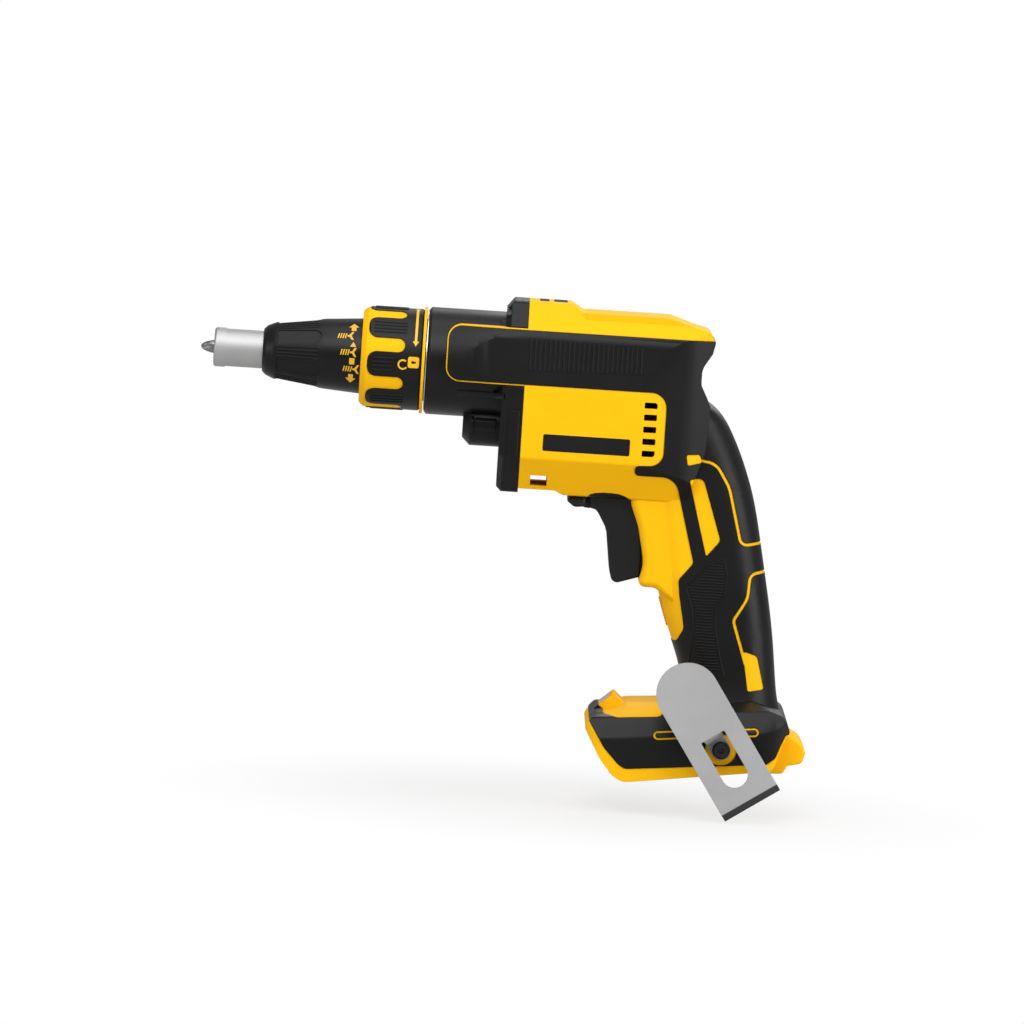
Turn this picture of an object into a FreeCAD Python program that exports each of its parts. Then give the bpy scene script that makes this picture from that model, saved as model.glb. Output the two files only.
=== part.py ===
import FreeCAD, Part

import math
import os

# Cordless drywall screwdriver without its battery, in millimetres.
# The drive axis is the X axis: the bit tip is at the origin, the nose points to -X,
# the handle runs down to -Z, and Y runs across the tool.

# Clearances shared by mating pieces
SEAT_GAP = 0.02
RUN_GAP = 0.06
SIDE_GAP = 0.3
MOVE_GAP = 0.5
OVERRUN = 2.0
JOIN_TOLERANCE = 0.002

# Lengths along the nose, from the bit tip back
BIT_PROUD = 5.5
SLEEVE_SHOWN = 20.5
CONE_SHOWN = 41.3
COLLAR_LENGTH = 26.7
COLLAR_REAR_GAP = 0.8
CASE_LENGTH = 41.5

# Driver bit and its holder
BIT_LENGTH = 25.0
BIT_ACROSS_FLATS = 6.35
BIT_NECK_RADIUS = 2.4
BIT_NECK_LENGTH = 7.0
BIT_TIP_LENGTH = 6.0
BIT_TIP_RADIUS = 0.9
BIT_FLUTE_COUNT = 4
BIT_FLUTE_RADIUS = 1.5
BIT_FLUTE_OFFSET = 2.2
BIT_SEAT_DEPTH = 11.0
HOLDER_RADIUS = 5.1
HOLDER_LENGTH = 38.0
HOLDER_CHAMFER = 0.8
SHANK_LENGTH = 17.0
MAGNET_RADIUS = 2.5
MAGNET_LENGTH = 3.0

# Bit locator sleeve and nose cone
SLEEVE_RADIUS = 7.9
SLEEVE_BORE_RADIUS = 5.8
SLEEVE_CHAMFER = 0.6
CONE_FRONT_RADIUS = 10.4
CONE_NECK_RADIUS = 11.9
CONE_NECK_LENGTH = 5.0
CONE_MID_RADIUS = 14.7
CONE_MID_LENGTH = 26.0
CONE_REAR_RADIUS = 15.8
CONE_EDGE_RADIUS = 1.5
CONE_SKIRT_LENGTH = 10.0
CONE_SKIRT_BORE_RADIUS = 12.9
CONE_PANEL_COUNT = 6
CONE_PANEL_TURN = 57.0
CONE_PANEL_LENGTH = 18.6
CONE_PANEL_SETBACK = 1.0
CONE_PANEL_WIDTH = 6.4
CONE_PANEL_DEPTH = 0.8

# Depth ring that carries the nose cone, and its grip ring
RING_NECK_LENGTH = 7.0
RING_NECK_RADIUS = 12.5
RING_BORE_RADIUS = 11.9
RING_FLANGE_LENGTH = 6.5
RING_FLANGE_RADIUS = 16.8
O_RING_WIRE_RADIUS = 0.35
DEPTH_TRAVEL = 4.0

# Depth collar with its rubber grip
COLLAR_FRONT_RADIUS = 20.0
COLLAR_BODY_RADIUS = 19.4
COLLAR_FINGER_RADIUS = 20.9
COLLAR_FINGER_COUNT = 8
COLLAR_FINGER_TURN = 26.7
COLLAR_FINGER_WIDTH = 6.0
COLLAR_ROOT_RADIUS = 4.0
COLLAR_LAND = 0.6
COLLAR_FINGER_LENGTH = 18.2
COLLAR_FRONT_RING_LENGTH = 2.7
COLLAR_REAR_RING_LENGTH = 1.2
COLLAR_REAR_RING_RADIUS = 22.4
COLLAR_FRONT_BORE_RADIUS = 16.3
COLLAR_BORE_RADIUS = 17.2
COLLAR_LIP_LENGTH = 5.5
COLLAR_EDGE_RADIUS = 0.9
GRIP_RADIUS = 21.3
GRIP_EDGE_RADIUS = 0.6
SNAP_RING_WIDTH = 1.0
SNAP_RING_RADIUS = 17.7
SNAP_RING_BORE_RADIUS = 16.3
SNAP_RING_OFFSET = 3.0
WASHER_THICKNESS = 0.4
WASHER_RADIUS = 21.0
WASHER_BORE_RADIUS = 18.0

# Gear case
SNOUT_RADIUS = 11.6
SNOUT_LENGTH = 24.0
SPIGOT_LENGTH = 5.8
BARREL_RADIUS = 22.5
BARREL_EDGE_RADIUS = 1.0
CASE_WALL = 2.7
CLUTCH_CHAMBER_RADIUS = 15.5
GEAR_CHAMBER_GAP = 0.6
FLANGE_LENGTH = 9.2
FLANGE_CHAMFER = 2.0
HUMP_LENGTH = 10.6
HUMP_SLOPE_LENGTH = 4.6
PINION_BOSS_RADIUS = 9.6
PINION_BOSS_LENGTH = 24.8
PINION_BOSS_CHAMFER = 3.2
PINION_CHAMBER_RADIUS = 6.2
CASE_SCREW_RADIUS = 2.0
CASE_SCREW_HEAD_RADIUS = 3.4
CASE_SCREW_HEAD_LENGTH = 2.6
CASE_SCREW_GRIP = 11.0
CASE_SCREW_BOSS_RADIUS = 4.2
CASE_SCREW_SOCKET = 3.0
CASE_SCREW_SHARES = [(0.52, 0.75), (0.61, -0.8)]

# Spindle, dog clutch and gears
SPINDLE_RADIUS = 6.0
SPINDLE_TAIL_RADIUS = 3.5
SPINDLE_TAIL_LENGTH = 19.0
BUSH_RADIUS = 8.5
BUSH_LENGTH = 20.0
DISC_RADIUS = 13.0
DISC_LENGTH = 5.0
JAW_COUNT = 4
JAW_BORE_RADIUS = 8.5
SPINDLE_JAW_LENGTH = 2.5
GEAR_JAW_LENGTH = 3.0
JAW_REST_GAP = 1.0
JAW_ANGLE = 36.0
THRUST_WASHER_RADIUS = 7.6
THRUST_WASHER_LENGTH = 1.2
CLUTCH_SPRING_RADIUS = 5.6
CLUTCH_SPRING_WIRE_RADIUS = 0.55
CLUTCH_SPRING_TURNS = 4
SPRING_SEAT_WALL = 2.0
SPRING_LINK_SHARE = 0.9
GEAR_MODULE = 0.8
GEAR_TEETH = 50
PINION_TEETH = 12
GEAR_BACKLASH = 0.2
GEAR_ADDENDUM_SHARE = 0.75
PINION_ADDENDUM_SHARE = 1.0
DEDENDUM_SHARE = 1.25
PRESSURE_ANGLE = 20.0
GEAR_FACE = 7.0
GEAR_HUB_LENGTH = 7.5
GEAR_HUB_RADIUS = 7.5
GEAR_END_GAP = 0.8
GEAR_BEARING_RADIUS = 12.0
GEAR_BEARING_WIDTH = 5.0
GEAR_BEARING_BALLS = 10
BALL_SHARE = 0.27
BALL_LAND_SHARE = 0.55
GEAR_PLATE_INSET = 2.0
GEAR_PLATE_LENGTH = 7.2
GEAR_PLATE_RADIUS = 20.0
MOTOR_PLATE_RADIUS = 18.0

# Motor
SHAFT_RADIUS = 2.5
MOTOR_BEARING_RADIUS = 8.0
MOTOR_BEARING_WIDTH = 5.0
MOTOR_BEARING_BALLS = 7
STATOR_RADIUS = 22.0
STATOR_BACK = 3.4
STATOR_BORE_RADIUS = 13.2
STATOR_LENGTH = 22.0
STATOR_START = 17.7
STATOR_TEETH = 6
STATOR_TOOTH_WIDTH = 5.0
COIL_WIDTH = 8.4
COIL_OVERHANG = 4.0
COIL_INSET = 1.0
ROTOR_RADIUS = 11.0
MAGNET_SHELL = 1.5
ROTOR_MAGNET_COUNT = 4
ROTOR_MAGNET_ANGLE = 80.0
SENSOR_BOARD_RADIUS = 20.0
SENSOR_BOARD_THICKNESS = 1.4
FAN_RADIUS = 19.0
FAN_HUB_RADIUS = 5.0
FAN_BLADE_START = 10.0
FAN_DISC_THICKNESS = 1.4
FAN_LENGTH = 6.0
FAN_BLADE_COUNT = 11
FAN_BLADE_THICKNESS = 1.0
FAN_GAP = 3.0
BEARING_GAP = 1.5

# Housing: side view shares are of its length behind the seam and of its drop below the axis
HOUSING_LENGTH = 127.3
HOUSING_DROP = 168.6
BODY_TOP_HALF = 13.0
BODY_SHOULDER_HALF = 25.0
BODY_SHOULDER_Z = 15.0
BODY_HALF = 27.5
BODY_SIDE_Z = 8.0
BODY_CREASE_Z = 36.5
BODY_BOTTOM_HALF = 15.5
BODY_CORNER_RADIUS = 8.0
BODY_CREASE_RADIUS = 2.5
SKIN = 1.4
SKIN_PROUD = 0.3
SKIN_PIECES = 2
WALL = 3.2
BODY_SIDE_SHARES = [
    (-0.065, 0.169, 0.0), (0.137, 0.169, 0.02), (0.178, 0.148, 0.02), (0.469, 0.148, 0.06),
    (0.55, 0.128, 0.06), (0.599, 0.119, 0.02), (0.616, 0.096, 0.012), (0.608, 0.068, 0.02),
    (0.576, 0.03, 0.05), (0.576, -0.014, 0.05), (0.612, -0.066, 0.03), (0.603, -0.18, 0.0),
    (0.548, -0.308, 0.0), (0.149, -0.308, 0.01), (0.121, -0.297, 0.01), (-0.065, -0.297, 0.0),
]
LID_HALF = 18.6
LID_START_SHARE = 0.19
LID_END_SHARE = 0.6
BODY_PLAN_SHARES = [(-0.3, 1.03), (0.34, 1.03), (0.54, 0.86), (0.66, 0.62)]
HANDLE_HALF = 16.0
HANDLE_CORNER_SHARE = 0.82
HANDLE_END_SHARE = 0.435
HANDLE_SHARES = [
    (-0.059, 0.43, 0.604, 1.25), (-0.13, 0.425, 0.69, 1.22), (-0.208, 0.422, 0.738, 1.13),
    (-0.297, 0.426, 0.778, 1.04), (-0.415, 0.441, 0.813, 1.0), (-0.54, 0.486, 0.847, 1.0),
    (-0.652, 0.538, 0.872, 1.0), (-0.724, 0.571, 0.884, 1.03), (-0.783, 0.571, 0.896, 1.12),
    (-0.842, 0.54, 0.932, 1.38),
]
CHEEK_HALF = 15.0
CHEEK_EDGE_RADIUS = 3.0
CHEEK_SHARES = [
    (0.375, -0.27, 0.0), (0.375, -0.32, 0.03), (0.404, -0.376, 0.15), (0.43, -0.47, 0.1),
    (0.409, -0.524, 0.018), (0.468, -0.524, 0.02), (0.54, -0.56, 0.0), (0.54, -0.27, 0.0),
]

# Foot that takes the battery
FOOT_HALF = 37.0
FOOT_PITCH = 5.7
FOOT_SHOULDER_HALF = 32.5
FOOT_LEDGE_HALF = 17.0
FOOT_BAND_HEIGHT = 18.5
FOOT_SHOULDER_HEIGHT = 27.0
FOOT_TOP_HEIGHT = 31.0
FOOT_CORNER_RADIUS = 9.0
FOOT_EDGE_RADIUS = 2.0
FOOT_SHARES = [
    (0.268, -0.872, 0.012), (0.302, -0.836, 0.01), (0.345, -0.832, 0.01), (0.403, -0.817, 0.02),
    (0.548, -0.81, 0.0), (0.815, -0.79, 0.0), (0.921, -0.817, 0.03), (0.94, -0.853, 0.02),
    (0.914, -0.89, 0.03), (0.893, -0.949, 0.02), (0.402, -1.0, 0.05), (0.366, -0.984, 0.05),
    (0.324, -0.945, 0.05),
]
REAR_BLOCK_HALF = 22.0
REAR_BLOCK_SHARES = [
    (0.84, -0.84, 0.0), (0.94, -0.865, 0.02), (0.984, -0.885, 0.02), (1.0, -0.906, 0.015),
    (0.99, -0.934, 0.015), (0.943, -0.942, 0.006), (0.929, -0.962, 0.01), (0.84, -0.966, 0.0),
]
WEDGE_HALF = 11.0
WEDGE_SHARES = [
    (0.3, -0.834, 0.0), (0.36, -0.795, 0.006), (0.402, -0.823, 0.0), (0.402, -0.87, 0.0),
    (0.32, -0.87, 0.0),
]
LENS_HALF = 7.0
LENS_THICKNESS = 1.6
LENS_START_SHARE = 0.3
LENS_END_SHARE = 0.8
LED_BOARD_THICKNESS = 1.2

# Battery bay in the foot
BAY_HALF = 27.0
RAIL_GAP_HALF = 23.5
RAIL_HEIGHT = 4.0
BAY_HEIGHT = 12.5
BAY_END_SHARE = 0.83
BAY_WALL = 2.4
TERMINAL_BLOCK_LENGTH = 24.0
TERMINAL_BLOCK_HALF = 19.0
TERMINAL_BLOCK_HEIGHT = 7.0
TERMINAL_COUNT = 6
TERMINAL_PITCH = 6.0
TERMINAL_THICKNESS = 0.8
TERMINAL_HEIGHT = 5.0
TERMINAL_LENGTH = 12.0

# Side panel that reaches forward over the gear case
EAR_START = 33.3
EAR_RADIUS = 6.0
EAR_FRONT_RADIUS = 25.2
EAR_REAR_RADIUS = 30.5
EAR_TOP_Z = 17.2
EAR_BOTTOM_Z = 6.5
EAR_EDGE = 0.55

# Rubber grip, its insets and the side slot of the foot
GRIP_SHARES = [
    (0.68, 0.097, 0.0), (1.02, 0.03, 0.0), (1.02, -0.848, 0.0), (0.929, -0.858, 0.01),
    (0.913, -0.884, 0.02), (0.898, -0.916, 0.02), (0.87, -0.933, 0.02), (0.406, -0.966, 0.04),
    (0.383, -0.954, 0.04), (0.336, -0.917, 0.04), (0.28, -0.852, 0.01), (0.279, -0.837, 0.008),
    (0.301, -0.821, 0.008), (0.33, -0.836, 0.01), (0.374, -0.842, 0.02), (0.521, -0.833, 0.03),
    (0.556, -0.777, 0.05), (0.53, -0.724, 0.0), (0.52, -0.655, 0.0), (0.552, -0.655, 0.01),
    (0.575, -0.62, 0.03), (0.553, -0.54, 0.05), (0.546, -0.5, 0.02), (0.592, -0.456, 0.015),
    (0.514, -0.244, 0.0445), (0.3785, -0.244, 0.011),
    (0.3785, -0.2185, 0.011), (0.469, -0.2165, 0.052), (0.469, -0.0353, 0.042), (0.36, -0.0353, 0.0),
    (0.36, 0.03, 0.0),
]
INLAY_SHARES = [
    (0.56, -0.246, 0.006), (0.607, -0.244, 0.016), (0.676, -0.396, 0.016), (0.632, -0.4375, 0.003),
]
UPPER_TAB_SHARES = [
    (0.544, -0.185, 0.005), (0.588, -0.183, 0.006), (0.6, -0.203, 0.006), (0.551, -0.212, 0.005),
]
UPPER_LINE_SHARES = [
    (0.587, -0.198, 0.0), (0.645, -0.204, 0.06), (0.694, -0.262, 0.1), (0.745, -0.405, 0.02),
    (0.86, -0.393, 0.0),
]
LOWER_LINE_SHARES = [
    (0.88, -0.462, 0.0), (0.782, -0.475, 0.02), (0.778, -0.536, 0.06), (0.735, -0.592, 0.02),
    (0.785, -0.7, 0.0),
]
LOWER_TAB_SHARES = [
    (0.773, -0.666, 0.005), (0.822, -0.677, 0.015), (0.851, -0.759, 0.006), (0.797, -0.766, 0.006),
]
ACCENT_WIDTH = 1.3
SLOT_START_SHARE = (0.5085, -0.878)
SLOT_END_SHARE = (0.8244, -0.8555)
SLOT_FRAME_WIDTH = 3.7
SLOT_WIDTH = 2.0

# Vents and the through slot of the motor housing
VENT_COUNT = 5
VENT_LENGTH = 5.4
VENT_HEIGHT = 2.6
VENT_CORNER_RADIUS = 0.4
VENT_SWEEP_RADIUS = 2.0
VENT_PITCH = 5.05
VENT_X_SHARE = 0.418
VENT_TOP_SHARE = -0.068
LANYARD_START_SHARE = 0.038
LANYARD_LENGTH = 7.0
LANYARD_TOP_Z = 43.9
LANYARD_HEIGHT = 4.4
LANYARD_WALL = 1.6

# Trigger, direction lever and switch
TRIGGER_HALF = 10.5
TRIGGER_EDGE_RADIUS = 1.0
TRIGGER_TRAVEL = 7.0
TRIGGER_STOP_GAP = 1.5
TRIGGER_SLOPE = 16.8
TRIGGER_SHARES = [
    (0.256, -0.338, 0.012), (0.268, -0.347, 0.02), (0.299, -0.387, 0.08), (0.317, -0.488, 0.1),
    (0.33, -0.523, 0.02), (0.42, -0.501, 0.0), (0.42, -0.338, 0.0),
]
TRIGGER_WING_SHARES = [
    (0.2396, -0.305), (0.42, -0.305), (0.42, -0.36), (0.3, -0.36), (0.268, -0.342), (0.2396, -0.336),
]
TRIGGER_WING_WIDTH = 2.3
TRIGGER_SLOT_SHARES = [
    (0.18, -0.29), (0.49, -0.29), (0.49, -0.489), (0.41, -0.5085), (0.18, -0.5655),
]
PLUNGER_RADIUS = 3.0
PLUNGER_DROP = 12.0
PLUNGER_LENGTH = 12.0
TRIGGER_SPRING_RADIUS = 4.3
TRIGGER_SPRING_WIRE_RADIUS = 0.4
TRIGGER_SPRING_TURNS = 4
SWITCH_LENGTH = 24.0
SWITCH_HALF = 9.0
SWITCH_HEIGHT = 25.0
SWITCH_TOP_SHARE = -0.345
LEVER_THICKNESS = 2.4
LEVER_ARM_HALF = 3.2
LEVER_TIP_HALF = 12.5
LEVER_TIP_SHARES = [
    (0.154, -0.317, 0.01), (0.19, -0.3105, 0.0), (0.2265, -0.3105, 0.0), (0.2265, -0.334, 0.008),
    (0.189, -0.337, 0.015),
]
LEVER_TIP_EDGE_RADIUS = 1.2
LEVER_SPINE_SHARES = [(0.19, -0.3125), (0.245, -0.3125), (0.245, -0.3315), (0.19, -0.3315)]
LEVER_PIVOT_SHARE = 0.545
LEVER_PIVOT_RADIUS = 2.0
LEVER_HUB_RADIUS = 5.0
LEVER_LIFT = 3.6

# Electronics and leads
MODULE_LENGTH = 46.0
MODULE_HALF = 16.0
MODULE_HEIGHT = 13.0
MODULE_START = 12.0
MODULE_BASE_Z = 1.5
MODULE_EDGE_RADIUS = 1.5
LEAD_RADIUS = 1.2
LEAD_SPREAD = 4.5
LEAD_EDGE_RUN = 3.6
LEAD_BACK_RUN = 4.8
LEAD_REAR_RUN = 15.6
LEAD_TURN_RUN = 10.8
SWITCH_LEAD_SHARES = (0.72, 0.4, 0.1)
BATTERY_LEAD_SHARES = (0.25, 0.6, 0.85)
PHASE_LEAD_START = 14.6
PHASE_LEAD_SPREAD = 14.5
PHASE_ANGLE = 60.0
TANGENT_SHARE = 0.48
BEND_SHARE = 0.45

# Ribs and screws that hold the two halves together
RIB_THICKNESS = 2.6
SCREW_RADIUS = 1.5
SCREW_HEAD_RADIUS = 3.0
SCREW_HEAD_HEIGHT = 2.4
SCREW_HEAD_Y = 7.0
SCREW_LENGTH = 15.0
SCREW_SOCKET = 2.6
SCREW_BOSS_RADIUS = 4.8
SCREW_SHARES = [
    (0.135, 0.112), (0.49, 0.098), (0.525, -0.2), (0.725, -0.37), (0.555, -0.575), (0.81, -0.7),
    (0.385, -0.868), (0.87, -0.875),
]

# Belt hook, in its own frame along its length
HOOK_REFERENCE_SHARE = (0.6053, -0.7757)
HOOK_SLOPE = 56.3
HOOK_HALF = 13.2
HOOK_TOP = 15.1
HOOK_LENGTH = 64.0
HOOK_THICKNESS = 2.0
HOOK_GAP = 8.0
HOOK_WINDOW_START = 18.5
HOOK_WINDOW_END = 42.4
HOOK_WINDOW_HALF = 5.5
HOOK_TAB_HALF = 4.1
HOOK_TAB_RUN = 1.0
HOOK_SCREW_PLACE = 25.8
HOOK_LIP = 3.2
HOOK_LIP_SLOPE = 45.0
HOOK_BOSS_RADIUS = 6.6
HOOK_SCREW_RADIUS = 2.0
HOOK_SCREW_HEAD_RADIUS = 3.7
HOOK_SCREW_HEAD_HEIGHT = 2.4
HOOK_SCREW_SOCKET = 2.5
HOOK_SOCKET_SHARE = 0.7
HOOK_SCREW_GRIP = 7.5
INSERT_RADIUS = 3.0
INSERT_LENGTH = 8.0

# Places along the drive axis
SLEEVE_X = BIT_PROUD
CONE_X = SLEEVE_X + SLEEVE_SHOWN
COLLAR_X = CONE_X + CONE_SHOWN
COLLAR_END = COLLAR_X + COLLAR_LENGTH
CASE_X = COLLAR_END + COLLAR_REAR_GAP
SEAM_X = CASE_X + CASE_LENGTH
HOLDER_X = BIT_LENGTH - BIT_SEAT_DEPTH
SHANK_X = HOLDER_X + HOLDER_LENGTH
SPINDLE_X = SHANK_X + SIDE_GAP
SLEEVE_END = SPINDLE_X - DEPTH_TRAVEL - MOVE_GAP
FLANGE_X = SEAM_X - FLANGE_LENGTH
GEAR_PLATE_X = SEAM_X - GEAR_PLATE_INSET
GEAR_PLATE_END = GEAR_PLATE_X + GEAR_PLATE_LENGTH
GEAR_END = GEAR_PLATE_X - GEAR_END_GAP
GEAR_X = GEAR_END - GEAR_FACE
GEAR_HUB_X = GEAR_X - GEAR_HUB_LENGTH
JAW_TIP_X = GEAR_HUB_X - GEAR_JAW_LENGTH - JAW_REST_GAP
DISC_END = JAW_TIP_X - SPINDLE_JAW_LENGTH
DISC_X = DISC_END - DISC_LENGTH
SPRING_X = DISC_END + THRUST_WASHER_LENGTH
SPRING_END = GEAR_X - SPRING_SEAT_WALL
CONE_END = COLLAR_X + CONE_SKIRT_LENGTH
RING_FLANGE_X = CONE_END + SIDE_GAP
RING_X = RING_FLANGE_X - RING_NECK_LENGTH
RING_END = RING_FLANGE_X + RING_FLANGE_LENGTH
SNOUT_X = CASE_X - SNOUT_LENGTH
MOTOR_Z = -GEAR_MODULE * (GEAR_TEETH + PINION_TEETH) / 2
STATOR_X = SEAM_X + STATOR_START
STATOR_END = STATOR_X + STATOR_LENGTH
SENSOR_X = STATOR_END + COIL_OVERHANG + SIDE_GAP
FAN_X = SENSOR_X + SENSOR_BOARD_THICKNESS + FAN_GAP
REAR_BEARING_X = FAN_X + FAN_LENGTH + BEARING_GAP
BODY_TOP_Z = BODY_SIDE_SHARES[0][1] * HOUSING_DROP
BODY_BOTTOM_Z = BODY_SIDE_SHARES[-3][1] * HOUSING_DROP
FOOT_RUN = math.tan(math.radians(FOOT_PITCH))
TRIGGER_TURN = math.radians(TRIGGER_SLOPE)
TRIGGER_AXIS = FreeCAD.Vector(math.cos(TRIGGER_TURN), 0, math.sin(TRIGGER_TURN))

X_AXIS = FreeCAD.Vector(1, 0, 0)
Y_AXIS = FreeCAD.Vector(0, 1, 0)
Z_AXIS = FreeCAD.Vector(0, 0, 1)


# Shape helpers

def vec(x, y, z):
    return FreeCAD.Vector(x, y, z)


def side(x_share, z_share):
    """Point of the housing's middle plane, from shares of its length and drop."""
    return vec(SEAM_X + x_share * HOUSING_LENGTH, 0, z_share * HOUSING_DROP)


def rod(x, length, radius, y=0, z=0):
    return Part.makeCylinder(radius, length, vec(x, y, z), X_AXIS)


def tube(x, length, outer, inner, y=0, z=0):
    return rod(x, length, outer, y, z).cut(rod(x - OVERRUN, length + 2 * OVERRUN, inner, y, z))


def cross_rod(x, z, y_from, y_to, radius):
    return Part.makeCylinder(radius, y_to - y_from, vec(x, y_from, z), Y_AXIS)


def block(x_from, x_to, y_from, y_to, z_from, z_to):
    return Part.makeBox(x_to - x_from, y_to - y_from, z_to - z_from, vec(x_from, y_from, z_from))


def turned(profile):
    """Solid of revolution about the drive axis from (x, radius) corners."""
    corners = [vec(x, 0, radius) for x, radius in profile]
    face = Part.Face(Part.makePolygon(corners + corners[:1]))
    return face.revolve(vec(0, 0, 0), X_AXIS, 360)


def hexagon(x, length, across_flats):
    radius = across_flats / math.sqrt(3)
    angles = [math.radians(60 * step) for step in range(7)]
    corners = [vec(x, radius * math.sin(angle), radius * math.cos(angle)) for angle in angles]
    return Part.Face(Part.makePolygon(corners)).extrude(X_AXIS * length)


def cross_hexagon(x, z, y_from, y_to, across_flats):
    radius = across_flats / math.sqrt(3)
    angles = [math.radians(60 * step) for step in range(7)]
    corners = [vec(x + radius * math.sin(angle), y_from, z + radius * math.cos(angle)) for angle in angles]
    return Part.Face(Part.makePolygon(corners)).extrude(Y_AXIS * (y_to - y_from))


def rounded_wire(corners, radii, closed=True):
    """Straight runs through the corners, joined by tangent arcs of the given radii."""
    count = len(corners)
    runs = []
    for index, corner in enumerate(corners):
        radius = radii[index]
        is_end = not closed and index in (0, count - 1)
        if radius == 0 or is_end:
            runs.append((corner, corner, None))
            continue
        back = corners[index - 1] - corner
        ahead = corners[(index + 1) % count] - corner
        half = back.getAngle(ahead) / 2
        reach = min(radius / math.tan(half), TANGENT_SHARE * min(back.Length, ahead.Length))
        back.normalize()
        ahead.normalize()
        middle = back + ahead
        middle.normalize()
        true_radius = reach * math.tan(half)
        crown = corner + middle * (true_radius / math.sin(half) - true_radius)
        start = corner + back * reach
        end = corner + ahead * reach
        runs.append((start, end, Part.Arc(start, crown, end).toShape()))
    edges = []
    for index, (start, end, arc) in enumerate(runs):
        if arc:
            edges.append(arc)
        if closed or index < count - 1:
            following = runs[(index + 1) % count][0]
            if following.distanceToPoint(end) > JOIN_TOLERANCE:
                edges.append(Part.LineSegment(end, following).toShape())
    return Part.Wire(edges)


def side_wire(shares):
    corners = [side(row[0], row[1]) for row in shares]
    radii = [row[2] * HOUSING_DROP if len(row) > 2 else 0 for row in shares]
    return rounded_wire(corners, radii)


def inset_wire(wire, inset):
    return wire.makeOffset2D(-inset, 0, False) if inset else wire


def side_prism(wire, half):
    return side_slab(wire, -half, half)


def side_slab(wire, y_from, y_to):
    face = Part.Face(wire)
    face.translate(vec(0, y_from, 0))
    return face.extrude(Y_AXIS * (y_to - y_from))


def soft_prism(wire, half, radius):
    """Side prism whose two outline edges are rounded."""
    solid = side_prism(wire, half)
    edges = [edge for edge in solid.Edges if abs(abs(edge.CenterOfMass.y) - half) < SEAT_GAP]
    return solid.makeFillet(radius, edges) if radius > 0 else solid


def pipe(points, radius):
    """Round tube along straight runs and large tangent arcs."""
    radii = [0] * len(points)
    for index in range(1, len(points) - 1):
        back = points[index - 1] - points[index]
        ahead = points[index + 1] - points[index]
        half = back.getAngle(ahead) / 2
        radii[index] = BEND_SHARE * min(back.Length, ahead.Length) * math.tan(half)
    path = rounded_wire(points, radii, closed=False)
    start = points[0]
    ring = Part.Wire(Part.makeCircle(radius, start, points[1] - start))
    return path.makePipeShell([ring], True, False)


def coil(start, axis, length, radius, wire_radius, turns):
    """Compression spring, drawn as its ring-shaped turns between two flat ends."""
    pitch = (length - 2 * wire_radius) / (turns - 1)
    rings = []
    for turn in range(turns):
        centre = start + axis * (wire_radius + turn * pitch)
        rings.append(Part.makeTorus(radius, wire_radius, centre, axis))
    links = []
    side_axis = Y_AXIS.cross(axis)
    for turn in range(turns - 1):
        across = side_axis * (radius if turn % 2 else -radius)
        foot = start + axis * (wire_radius + turn * pitch) + across
        links.append(Part.makeCylinder(wire_radius * SPRING_LINK_SHARE, pitch, foot, axis))
    return rings[0].fuse(rings[1:] + links)


def ball_bearing(x, width, outer, inner, z, balls):
    """Two rings and their balls."""
    middle = (outer + inner) / 2
    ball_radius = (outer - inner) * BALL_SHARE
    land = ball_radius * BALL_LAND_SHARE
    groove = Part.makeTorus(middle, ball_radius + RUN_GAP, vec(x + width / 2, 0, z), X_AXIS)
    outer_ring = tube(x, width, outer, middle + land, 0, z).cut(groove)
    inner_ring = tube(x, width, middle - land, inner, 0, z).cut(groove)
    spheres = []
    for index in range(balls):
        angle = 2 * math.pi * index / balls
        centre = vec(x + width / 2, middle * math.sin(angle), z + middle * math.cos(angle))
        spheres.append(Part.makeSphere(ball_radius, centre))
    return Part.makeCompound([outer_ring, inner_ring] + spheres)


def involute_flank(teeth, addendum_share):
    """(radius, half angle) pairs up one tooth flank."""
    pitch_radius = GEAR_MODULE * teeth / 2
    base = pitch_radius * math.cos(math.radians(PRESSURE_ANGLE))
    root = pitch_radius - DEDENDUM_SHARE * GEAR_MODULE
    tip = pitch_radius + addendum_share * GEAR_MODULE

    def spread(radius):
        angle = math.acos(min(1, base / radius))
        return math.tan(angle) - angle

    half_tooth = (math.pi * GEAR_MODULE / 2 - GEAR_BACKLASH / 2) / (2 * pitch_radius)
    start = max(root, base)
    radii = [start + (tip - start) * step / 3 for step in range(4)]
    flank = [(radius, half_tooth + spread(pitch_radius) - spread(radius)) for radius in radii]
    return [(root, flank[0][1])] + flank if root < base else [(root, flank[0][1])] + flank[1:]


def toothed_wheel(x, length, teeth, addendum_share, z, first_angle):
    """Spur gear whose first tooth points along first_angle, measured from +Z about X."""
    flank = involute_flank(teeth, addendum_share)
    corners = []
    for tooth in range(teeth):
        middle = first_angle + 2 * math.pi * tooth / teeth
        rising = [(radius, middle - half) for radius, half in flank]
        falling = [(radius, middle + half) for radius, half in reversed(flank)]
        for radius, angle in rising + falling:
            corners.append(vec(x, radius * math.sin(angle), z + radius * math.cos(angle)))
    face = Part.Face(Part.makePolygon(corners + corners[:1]))
    return face.extrude(X_AXIS * length)


def turned_copies(shape, count, first_angle=0.0, z=0):
    copies = []
    for index in range(count):
        copy = shape.copy()
        copy.rotate(vec(0, 0, z), X_AXIS, first_angle + 360 * index / count)
        copies.append(copy)
    return copies


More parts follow.
